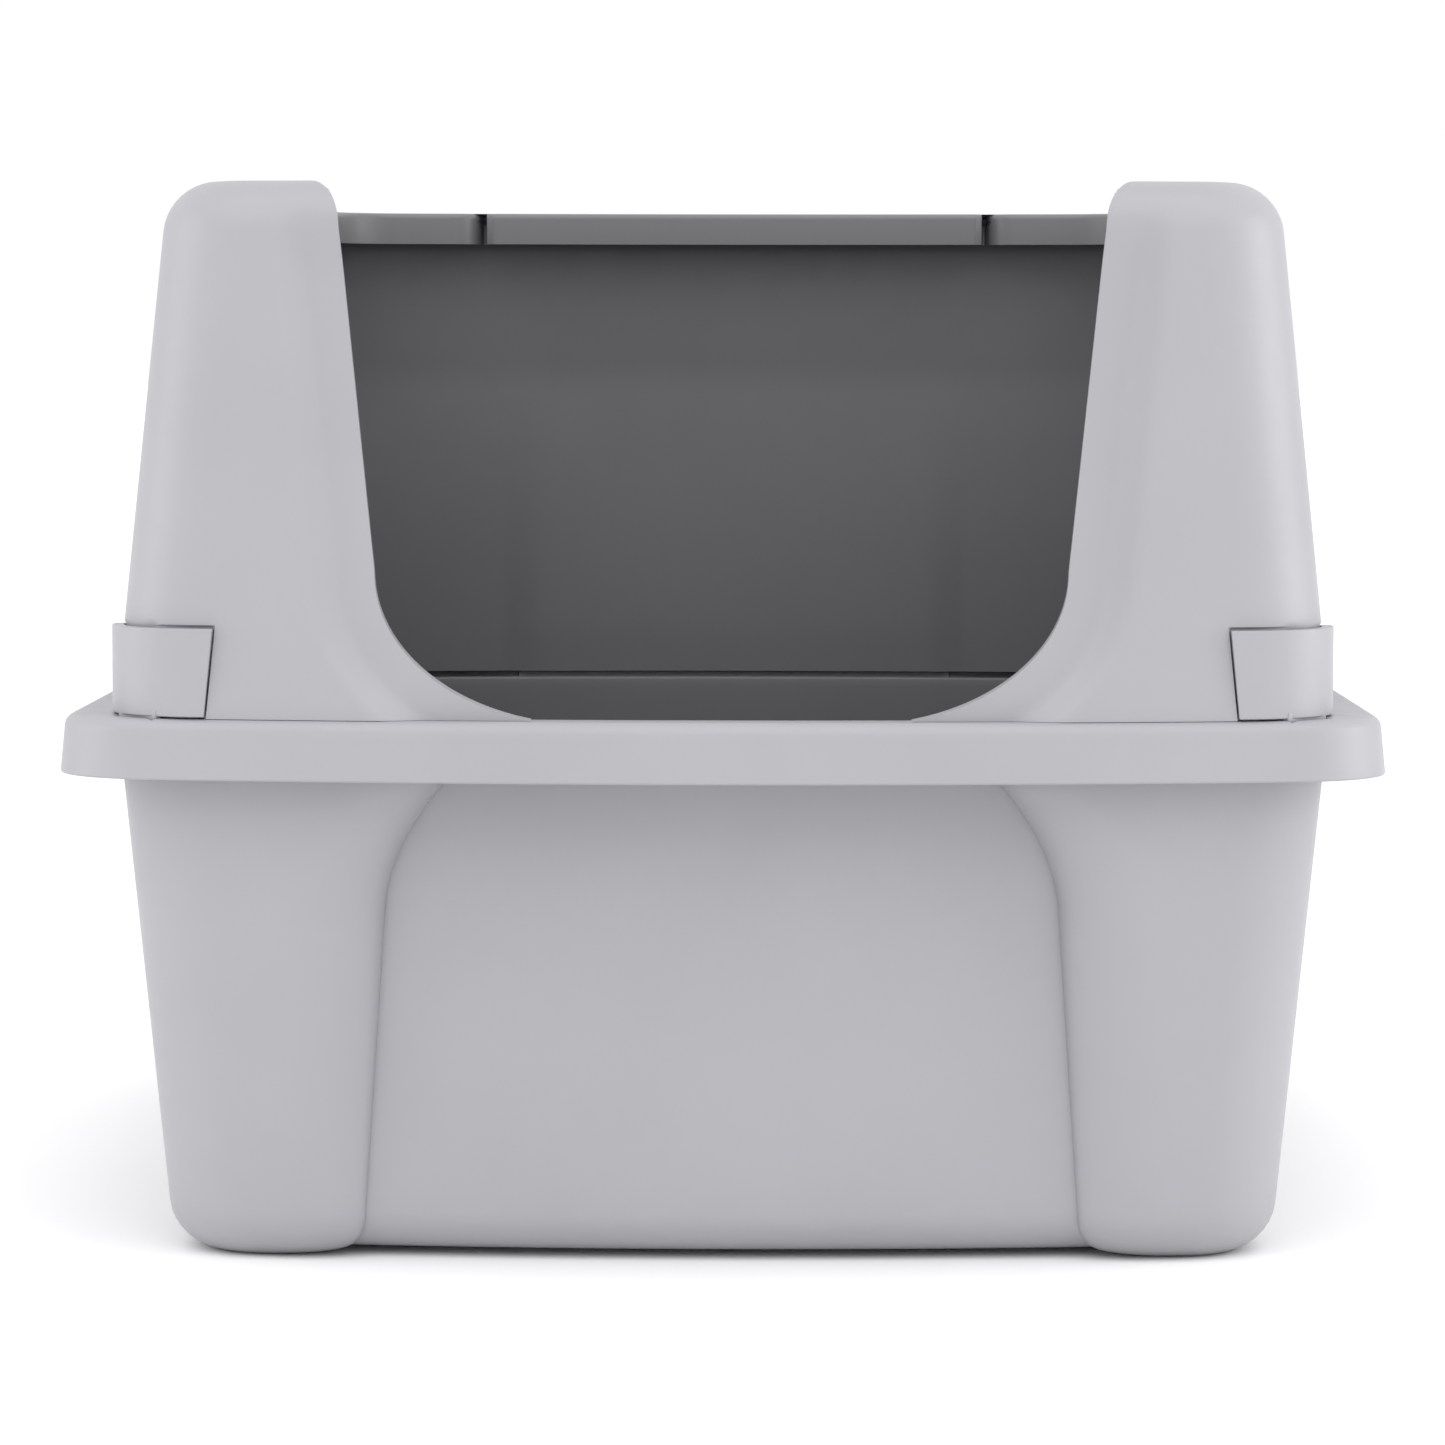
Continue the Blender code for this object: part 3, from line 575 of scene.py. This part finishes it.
def skirt_plan(inset):
    wall = base_outline(SKIRT_BOTTOM, WALL + SKIRT_CLEARANCE + inset)[:, :2]
    step = hood_plan(RIM_TOP, SEAT_INSET + 1.5 * GAP + inset, base_stations(SKIRT_BOTTOM))
    return inner_of(wall, step)


def seat_sheets(keep):
    """The ledge on the rim and the skirt inside it, as outer and inner rows, cut to the points in keep."""
    foot = RIM_TOP + GAP
    seat = foot - SEAT_STEP
    edge = hood_plan(RIM_TOP, WALL - 0.0003)
    edge[:, 1] += flange_setback(edge[:, 0], foot + SEAT_WALL) * (edge[:, 1] < -0.2)
    outer = [
        at_height(skirt_plan(0.0), SKIRT_BOTTOM),
        at_height(skirt_plan(0.0), seat),
        at_height(hood_plan(RIM_TOP, SEAT_INSET), seat),
        at_height(hood_plan(RIM_TOP, SEAT_INSET), foot),
        at_height(edge, foot),
    ]
    inner = [
        at_height(skirt_plan(SKIRT_WALL), SKIRT_BOTTOM),
        at_height(skirt_plan(SKIRT_WALL), seat + SEAT_WALL),
        at_height(hood_plan(RIM_TOP, SEAT_INSET + SEAT_WALL), seat + SEAT_WALL),
        at_height(hood_plan(RIM_TOP, SEAT_INSET + SEAT_WALL), foot + SEAT_WALL),
        at_height(edge, foot + SEAT_WALL),
    ]
    return [row[keep] for row in outer], [row[keep] for row in inner]


def front_keep():
    """Indices of the right half's points in front of the seam."""
    count = len(END_STATIONS) + CORNER_STEPS + int(np.sum(SIDE_Y < SPLIT_Y + 1e-6))
    return np.arange(count)


def across_front(row):
    """A right half's front part joined to its mirror image."""
    left = row[1:][::-1] * np.array([-1.0, 1.0, 1.0])
    return np.vstack([left, row])


def make_front_frame():
    builder = bmesh.new()
    outer, inner = pillar_sheets()
    shell(builder, outer, inner)
    shell(builder, mirrored(outer), mirrored(inner))
    low_outer, low_inner = seat_sheets(front_keep())
    sill_outer = [across_front(row) for row in low_outer[:3]]
    sill_inner = [across_front(row) for row in low_inner[:3]]
    shell(builder, sill_outer, sill_inner)
    keep = np.where(low_outer[-1][:, 0] > entry_half_width(RIM_TOP + GAP + SEAT_WALL) + 0.012)[0]
    apart = np.array([0.0, 0.0, GAP / 2])
    foot_outer = [low_outer[2][keep] + apart] + [row[keep] for row in low_outer[3:]]
    foot_inner = [low_inner[2][keep] + apart] + [row[keep] for row in low_inner[3:]]
    shell(builder, foot_outer, foot_inner)
    shell(builder, mirrored(foot_outer), mirrored(foot_inner))
    obj = object_from(builder, "front_frame_shell")
    round_edges(obj, 0.0005)
    return obj


def notch_depth(x):
    """How far the rear lip turns back at each x: a chamfer, a slot and a rounded end, on both sides."""
    x = abs(x)
    chamfer = 0.0016 * smooth(x, 0.0930, 0.0958)
    slot = 0.010 * smooth(x, 0.0958, 0.0966)
    turn = np.clip((0.1085 - x) / 0.0105, 0.0, 1.0)
    rounded = 0.0116 * (1.0 - np.sqrt(1.0 - turn**2))
    return np.where(x < 0.0980, chamfer + slot, rounded)


REAR_XS = np.array(
    spaced(0.0, 0.088, 12)
    + spaced(0.0925, 0.0958, 4)
    + [0.0962, 0.0966, 0.0974]
    + spaced(0.0981, 0.0990, 3)
    + spaced(0.0994, 0.1090, 10)
    + [0.114]
)
REAR_TAIL = np.array(spaced(0.0, 1.0, 10)[1:])


def rear_quarter(half_width, half_length, radius):
    join_x = corner_centre(half_width, half_length, radius)[0]
    xs = np.concatenate([REAR_XS, REAR_XS[-1] + (join_x - REAR_XS[-1]) * REAR_TAIL])
    return quarter(half_width, half_length, radius, xs)


def rear_row(half_width, half_length, radius, side_x=None):
    """Right half of the rear hood: from the seam along the side and round to the back centre."""
    ys = SIDE_Y[SIDE_Y > SPLIT_Y - 1e-6].copy()
    ys[0] = SPLIT_Y + GAP
    back = rear_quarter(half_width, half_length, radius)
    last = corner_centre(half_width, half_length, radius)[2][1] - 0.004
    ys = np.where(ys > 0.12, 0.12 + (ys - 0.12) * (last - 0.12) / 0.07, ys)
    xs = np.full(len(ys), half_width) if side_x is None else side_x(ys)
    return np.vstack([np.column_stack([xs, ys]), np.array(back[::-1])])


def rear_wall(z, inset):
    width = HOOD_WIDTH - HOOD_SIDE_DRAFT * (z - RIM_TOP) - inset
    length = HOOD_LENGTH_REAR - HOOD_DRAFT * (z - RIM_TOP) - inset
    return at_height(rear_row(width, length, HOOD_CORNER - inset), z)


def rear_border(grow, z, notch=1.0):
    row = rear_row(
        OPENING_SIDE + grow,
        OPENING_BACK + grow,
        OPENING_CORNER + grow,
        lambda ys: opening_side_x(ys) + grow,
    )
    at_back = row[:, 1] > OPENING_BACK - 0.03
    row[:, 1] += np.where(at_back, notch * notch_depth(row[:, 0]), 0.0)
    return at_height(row, z)


def around_back(row):
    left = row[:-1][::-1] * np.array([-1.0, 1.0, 1.0])
    return np.vstack([row, left])


def rear_skirt(inset):
    """Skirt of the rear hood: as the CAD's, worked out on the rear hood's own stations."""
    z = SKIRT_BOTTOM
    width = BASE_WIDTH_FLOOR + BASE_DRAFT * z
    length = BASE_LENGTH_FLOOR + BASE_DRAFT * z
    reference = rear_row(width, length, BASE_CORNER)
    side = 1.0 - smooth(abs(reference[:, 1]), SIDE_PANEL, SIDE_PANEL + RECESS_SLOPE)
    step = SEAT_INSET + 1.5 * GAP + inset
    inset += WALL + SKIRT_CLEARANCE
    plan = rear_row(width - inset, length - inset, BASE_CORNER - inset)
    plan[:, 1] -= np.where(reference[:, 1] > 0.2, REAR_RECESS * panel_share(reference, z), 0.0)
    plan[:, 0] -= SIDE_RECESS * side
    return inner_of(plan, rear_row(HOOD_WIDTH - step, HOOD_LENGTH_REAR - step, HOOD_CORNER - step))


def rear_pocket(row):
    """Moves the corner's points in to the latch's pocket."""
    deep = rear_row(HOOD_WIDTH - POCKET_DEPTH, HOOD_LENGTH_REAR - POCKET_DEPTH, HOOD_CORNER - POCKET_DEPTH)
    along = np.hypot(row[:, 0] - 0.1788, row[:, 1] - 0.2235)
    inside = along < 0.0212
    row[inside, :2] = deep[inside]
    return row


def rear_outer_rows():
    """The rear hood's outer face, from the skirt's foot up to the roof's round."""
    foot = RIM_TOP + GAP
    seat = foot - SEAT_STEP
    plan_in = rear_row(HOOD_WIDTH - SEAT_INSET, HOOD_LENGTH_REAR - SEAT_INSET, HOOD_CORNER - SEAT_INSET)
    rows = [at_height(rear_skirt(0.0), SKIRT_BOTTOM), at_height(rear_skirt(0.0), seat)]
    rows += [at_height(plan_in, seat), at_height(plan_in, foot)]
    rows += [rear_pocket(rear_wall(z, 0.0)) for z in spaced(foot, POCKET_TOP - POCKET_MARGIN, 8)]
    rows += [rear_wall(z, 0.0) for z in spaced(POCKET_TOP, HOOD_TOP - ROOF_ROUND, 22)]
    return rows


def rear_inner_rows():
    """The rear hood's inner face: nearly upright up to the knee, then along the outer wall."""
    top = RIM_TOP + GAP + SEAT_WALL
    skirt_in = rear_skirt(SKIRT_WALL)
    wall_in = rear_wall(INNER_KNEE, WALL)[:, :2]
    heights = spaced(top + INNER_START, POCKET_TOP - POCKET_MARGIN, 8)
    heights += spaced(POCKET_TOP, HOOD_TOP - ROOF_ROUND, 22)
    rows = [at_height(skirt_in, z) for z in spaced(SKIRT_BOTTOM, top, 3)]
    for z in heights:
        share = (z - top) / (INNER_KNEE - top)
        steep = at_height(skirt_in + (wall_in - skirt_in) * share, z)
        rows.append(steep if share < 1.0 else rear_wall(z, WALL))
    return rows


def rear_round_rows():
    """The rounds from the walls into the roof, as outer and inner rows."""
    outer = []
    inner = []
    inner_round = ROOF_ROUND - WALL
    for turn in spaced(0.0, math.pi / 2, 8)[1:]:
        lean = 1.0 - math.cos(turn)
        drop = 1.0 - math.sin(turn)
        outer.append(rear_wall(HOOD_TOP - ROOF_ROUND * drop, ROOF_ROUND * lean))
        inner.append(rear_wall(HOOD_TOP - ROOF - inner_round * drop, WALL + inner_round * lean))
    return outer, inner


def rear_lip_rows():
    """The turned-down lip round the open top, as outer and inner rows."""
    outer = []
    inner = []
    for turn in spaced(0.0, math.pi / 2, 4):
        grow = LIP_ROUND * (1.0 - math.sin(turn))
        z = HOOD_TOP - LIP_ROUND * (1.0 - math.cos(turn))
        outer.append(rear_border(grow, z))
        inner.append(rear_border(LIP_WALL + grow * 0.2, min(HOOD_TOP - ROOF, z - 0.0002)))
    outer.append(rear_border(0.0, HOOD_TOP - LIP_DEPTH))
    inner.append(rear_border(LIP_WALL, HOOD_TOP - LIP_DEPTH))
    return outer, inner


def make_rear_hood():
    """The dark sides and back of the hood, with the roof flange and the lip."""
    round_out, round_in = rear_round_rows()
    lip_out, lip_in = rear_lip_rows()
    outer = rear_outer_rows() + round_out + lip_out
    inner = rear_inner_rows() + round_in + lip_in
    builder = bmesh.new()
    shell(builder, [around_back(row) for row in outer], [around_back(row) for row in inner])
    obj = object_from(builder, "rear_hood_shell")
    round_edges(obj, 0.0004)
    return obj


# ---------------------------------------------------------------- latches and pins
def corners():
    """(name, x sign, y sign, hood's length) of each latch; left and right are seen from the front."""
    for end, y_sign, length in (("front", -1, HOOD_LENGTH), ("rear", 1, HOOD_LENGTH_REAR)):
        for side, x_sign in (("left", -1), ("right", 1)):
            yield f"{end}_{side}", x_sign, y_sign, length


def to_corner(row, corner):
    """Points of the front right corner moved to another corner."""
    _, x_sign, y_sign, length = corner
    moved = np.array(row) * np.array([x_sign, -y_sign, 1.0])
    moved[:, 1] += y_sign * (length - HOOD_LENGTH)
    return moved


def latch_row(z, inset):
    """One row of the latch's plate, from its slanted inner edge round the corner to its side."""
    join_x = corner_centre(HOOD_WIDTH, HOOD_LENGTH, HOOD_CORNER)[0]
    edge = LATCH_EDGE - POCKET_SLANT * (z - RIM_TOP)
    xs = np.array(spaced(edge, max(join_x, edge + 0.001), 6))
    plan = hood_plan(RIM_TOP, inset, front_xs=xs)[: len(xs) + CORNER_STEPS]
    end = plan[-1]
    tail = [(end[0], end[1] + LATCH_REACH * share) for share in (0.5, 1.0)]
    return at_height(np.vstack([plan, tail]), z)


def hinge_frame(corner):
    """(middle of the hinge's axis, outward direction, direction along the axis)."""
    _, x_sign, y_sign, length = corner
    centre = corner_centre(HOOD_WIDTH, length, HOOD_CORNER)[2]
    outward = np.array([x_sign, y_sign, 0.0]) / math.sqrt(2.0)
    middle = np.array([centre[0] * x_sign, centre[1] * y_sign, HINGE_Z])
    middle += (HOOD_CORNER - LATCH_THICKNESS / 2) * outward
    return middle, outward, np.array([-outward[1], outward[0], 0.0])


def hinge_ring(corner, radius, shift, sides=32):
    """A circle round the hinge's axis, moved along it by shift."""
    middle, outward, along = hinge_frame(corner)
    turns = [2 * math.pi * step / sides for step in range(sides)]
    upward = np.array([0.0, 0.0, 1.0])
    return [middle + along * shift + radius * (outward * math.cos(t) + upward * math.sin(t)) for t in turns]


def add_block(builder, corner, half_width, length, low, high):
    """A straight block along the hinge's axis."""
    middle, outward, along = hinge_frame(corner)
    rows = []
    for end in (-0.5, 0.5):
        sides = [middle + along * end * length + outward * half_width * side for side in (-1.0, 1.0)]
        left = sides[0][:2]
        right = sides[1][:2]
        rows.append([(*left, low), (*right, low), (*right, high), (*left, high)])
    grid = add_grid(builder, rows, wrap=True)
    for ring in grid:
        builder.faces.new(ring)


def make_latch(corner):
    """A corner plate on a tongue and a barrel that turns on a pin in the rim."""
    heights = spaced(LATCH_BOTTOM, LATCH_TOP, 6)
    builder = bmesh.new()
    outer = [to_corner(latch_row(z, -LATCH_PROUD), corner) for z in heights]
    inner = [to_corner(latch_row(z, LATCH_THICKNESS), corner) for z in heights]
    shell(builder, outer, inner)
    low = HINGE_Z + BARREL_RADIUS - TONGUE_OVERLAP
    add_block(builder, corner, LATCH_THICKNESS / 2 - LATCH_FINE_GAP, BARREL_LENGTH, low, LATCH_BOTTOM + 0.002)
    reach = BARREL_LENGTH / 2 - LATCH_FINE_GAP
    bore = PIN_RADIUS + BORE_GAP
    sections = [(bore, -reach), (BARREL_RADIUS, -reach), (BARREL_RADIUS, reach), (bore, reach)]
    rings = [hinge_ring(corner, radius, shift) for radius, shift in sections + sections[:1]]
    add_grid(builder, rings, wrap=True)
    obj = object_from(builder, f"latch_plate_{corner[0]}")
    round_edges(obj, 0.0004)
    return obj


def make_pin(corner):
    """A round pin with chamfered ends."""
    reach = PIN_LENGTH / 2
    sections = [(PIN_RADIUS - PIN_CHAMFER, -reach), (PIN_RADIUS, PIN_CHAMFER - reach)]
    sections += [(PIN_RADIUS, reach - PIN_CHAMFER), (PIN_RADIUS - PIN_CHAMFER, reach)]
    builder = bmesh.new()
    grid = add_grid(builder, [hinge_ring(corner, radius, shift) for radius, shift in sections], wrap=True)
    builder.faces.new(grid[0])
    builder.faces.new(grid[-1])
    obj = object_from(builder, f"hinge_pin_{corner[0]}")
    obj.data.set_sharp_from_angle(angle=math.radians(30))
    return obj


def carve(obj, cutters):
    """Cuts the cutters out of the mesh for good and removes them."""
    for cutter in cutters:
        cut = obj.modifiers.new(cutter.name, "BOOLEAN")
        cut.operation = "DIFFERENCE"
        cut.solver = "EXACT"
        cut.object = cutter
    view = bpy.context.evaluated_depsgraph_get()
    carved = bpy.data.meshes.new_from_object(obj.evaluated_get(view))
    obj.modifiers.clear()
    obj.data = carved
    for cutter in cutters:
        bpy.data.objects.remove(cutter, do_unlink=True)
    carved.set_sharp_from_angle(angle=math.radians(40))


def hinge_slot(corner):
    builder = bmesh.new()
    add_block(builder, corner, SLOT_HALF_WIDTH, BARREL_LENGTH + SLOT_END_GAP, SLOT_LOW, SLOT_HIGH)
    return object_from(builder, "slot")


def make_base():
    obj = ring_body("base_shell", base_rows())
    carve(obj, [hinge_slot(corner) for corner in corners()])
    return obj


# ---------------------------------------------------------------- materials
def node(tree, kind, **inputs):
    made = tree.nodes.new(kind)
    for name, value in inputs.items():
        made.inputs[name.replace("_", " ")].default_value = value
    return made


def plastic(name, colour, roughness, grain, specular=0.5):
    """Moulded plastic: a fine mould grain, slow colour and gloss changes and faint scuffs."""
    made = bpy.data.materials.new(name)
    made.use_nodes = True
    tree = made.node_tree
    shader = tree.nodes["Principled BSDF"]
    shader.inputs["Metallic"].default_value = 0.0
    shader.inputs["Specular IOR Level"].default_value = specular
    where = tree.nodes.new("ShaderNodeTexCoord")

    cloud = node(tree, "ShaderNodeTexNoise", Scale=14.0, Detail=3.0, Roughness=0.5)
    tree.links.new(where.outputs["Object"], cloud.inputs["Vector"])
    tint = tree.nodes.new("ShaderNodeValToRGB")
    tint.color_ramp.elements[0].position = 0.3
    tint.color_ramp.elements[1].position = 0.7
    tint.color_ramp.elements[0].color = [c * 0.975 for c in colour] + [1.0]
    tint.color_ramp.elements[1].color = [min(1.0, c * 1.02) for c in colour] + [1.0]
    tree.links.new(cloud.outputs["Fac"], tint.inputs["Fac"])
    tree.links.new(tint.outputs["Color"], shader.inputs["Base Color"])

    scuff = node(tree, "ShaderNodeTexNoise", Scale=90.0, Detail=6.0, Roughness=0.65, Distortion=1.2)
    tree.links.new(where.outputs["Object"], scuff.inputs["Vector"])
    gloss = tree.nodes.new("ShaderNodeMapRange")
    gloss.inputs["From Min"].default_value = 0.3
    gloss.inputs["From Max"].default_value = 0.7
    gloss.inputs["To Min"].default_value = roughness - 0.04
    gloss.inputs["To Max"].default_value = roughness + 0.05
    tree.links.new(scuff.outputs["Fac"], gloss.inputs["Value"])
    tree.links.new(gloss.outputs["Result"], shader.inputs["Roughness"])

    fine = node(tree, "ShaderNodeTexNoise", Scale=1400.0, Detail=2.0, Roughness=0.6)
    tree.links.new(where.outputs["Object"], fine.inputs["Vector"])
    wave = node(tree, "ShaderNodeTexNoise", Scale=22.0, Detail=1.0, Roughness=0.4)
    tree.links.new(where.outputs["Object"], wave.inputs["Vector"])
    bump_wave = node(tree, "ShaderNodeBump", Strength=0.15, Distance=0.0006)
    tree.links.new(wave.outputs["Fac"], bump_wave.inputs["Height"])
    bump = node(tree, "ShaderNodeBump", Strength=grain, Distance=0.00006)
    tree.links.new(fine.outputs["Fac"], bump.inputs["Height"])
    tree.links.new(bump_wave.outputs["Normal"], bump.inputs["Normal"])
    tree.links.new(bump.outputs["Normal"], shader.inputs["Normal"])
    return made


LIGHT_GREY = (0.366, 0.366, 0.390)
DARK_GREY = (0.172, 0.172, 0.183)
PAN_GREY = (0.134, 0.134, 0.143)
PIN_GREY = (0.30, 0.30, 0.32)


def dress(obj, finish, body, slot, *nodes):
    """Gives a piece its material and body, and hides the CAD nodes it stands for; the slot argument is not
    used.
    """
    obj.data.materials.clear()
    obj.data.materials.append(finish)
    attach(obj, body)
    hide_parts(*nodes)


# ---------------------------------------------------------------- stage, light and camera
def plain(name, colour, roughness):
    made = bpy.data.materials.new(name)
    made.use_nodes = True
    shader = made.node_tree.nodes["Principled BSDF"]
    shader.inputs["Base Color"].default_value = colour
    shader.inputs["Roughness"].default_value = roughness
    shader.inputs["Specular IOR Level"].default_value = 0.0
    return made


def make_floor():
    bpy.ops.mesh.primitive_plane_add(size=60.0, location=(0.0, 0.0, 0.0))
    floor = bpy.context.object
    floor.name = "floor"
    floor.data.materials.append(plain("floor_white", (0.95, 0.95, 0.95, 1.0), 1.0))


def area_light(name, place, target, size, power):
    light = bpy.data.lights.new(name, "AREA")
    light.shape = "RECTANGLE"
    light.size, light.size_y = size
    light.energy = power
    obj = bpy.data.objects.new(name, light)
    bpy.context.scene.collection.objects.link(obj)
    obj.location = place
    direction = Vector(target) - Vector(place)
    obj.rotation_euler = direction.to_track_quat("-Z", "Y").to_euler()


def soft_key(elevation, spread, strength):
    """A very soft light from the front and above, even over the whole floor."""
    light = bpy.data.lights.new("key", "SUN")
    light.angle = math.radians(spread)
    light.energy = strength
    obj = bpy.data.objects.new("key", light)
    bpy.context.scene.collection.objects.link(obj)
    obj.rotation_euler = (math.radians(90.0 - elevation), 0.0, 0.0)


def make_light():
    world = bpy.data.worlds.new("studio")
    bpy.context.scene.world = world
    world.use_nodes = True
    world.node_tree.nodes["Background"].inputs["Color"].default_value = (1.0, 1.0, 1.0, 1.0)
    world.node_tree.nodes["Background"].inputs["Strength"].default_value = 1.0
    soft_key(62.0, 75.0, 1.1)
    area_light("left_box", (-1.9, -0.2, 0.5), (0.0, 0.0, 0.2), (1.2, 1.2), 6.0)
    area_light("right_box", (1.9, -0.2, 0.5), (0.0, 0.0, 0.2), (1.2, 1.2), 11.5)


def make_camera():
    """At the front, a little right of centre and above the hood's middle, looking slightly down."""
    data = bpy.data.cameras.new("camera")
    data.sensor_width = 36.0
    data.lens = 129.7
    camera = bpy.data.objects.new("camera", data)
    bpy.context.scene.collection.objects.link(camera)
    camera.location = (0.0166, -1.8171, 0.2858)
    turn = Matrix.Rotation(math.radians(0.589), 3, "Z")
    tilt = Matrix.Rotation(math.radians(90.0 - 4.23), 3, "X")
    roll = Matrix.Rotation(math.radians(0.08), 3, "Z")
    camera.rotation_euler = (turn @ tilt @ roll).to_euler()
    bpy.context.scene.camera = camera
    bpy.context.scene.view_settings.view_transform = "Standard"


# ---------------------------------------------------------------- assembly
make_camera()
make_floor()
make_light()

base_grey = plastic("light_grey_base", LIGHT_GREY, 0.42, 0.20)
frame_grey = plastic("light_grey_frame", LIGHT_GREY, 0.40, 0.18)
latch_grey = plastic("light_grey_latch", LIGHT_GREY, 0.38, 0.18)
hood_dark = plastic("dark_grey_hood", DARK_GREY, 0.38, 0.22)
pan_dark = plastic("dark_grey_pan", PAN_GREY, 0.36, 0.22)
pin_grey = plastic("grey_pin", PIN_GREY, 0.35, 0.15)

dress(make_base(), base_grey, "base", "base_grey", "base_pan")
dress(ring_body("litter_pan_tub", pan_rows()), pan_dark, "pan", "pan_dark_grey", "litter_pan")
dress(make_front_frame(), frame_grey, "hood", "frame_grey", "front_frame")
dress(make_rear_hood(), hood_dark, "hood", "hood_dark_grey", "rear_hood")
for corner in corners():
    latch = f"latch_{corner[0]}"
    pin = f"latch_pin_{corner[0]}"
    dress(make_latch(corner), latch_grey, latch, "latch_grey", latch)
    dress(make_pin(corner), pin_grey, "base", "pin_grey", pin)
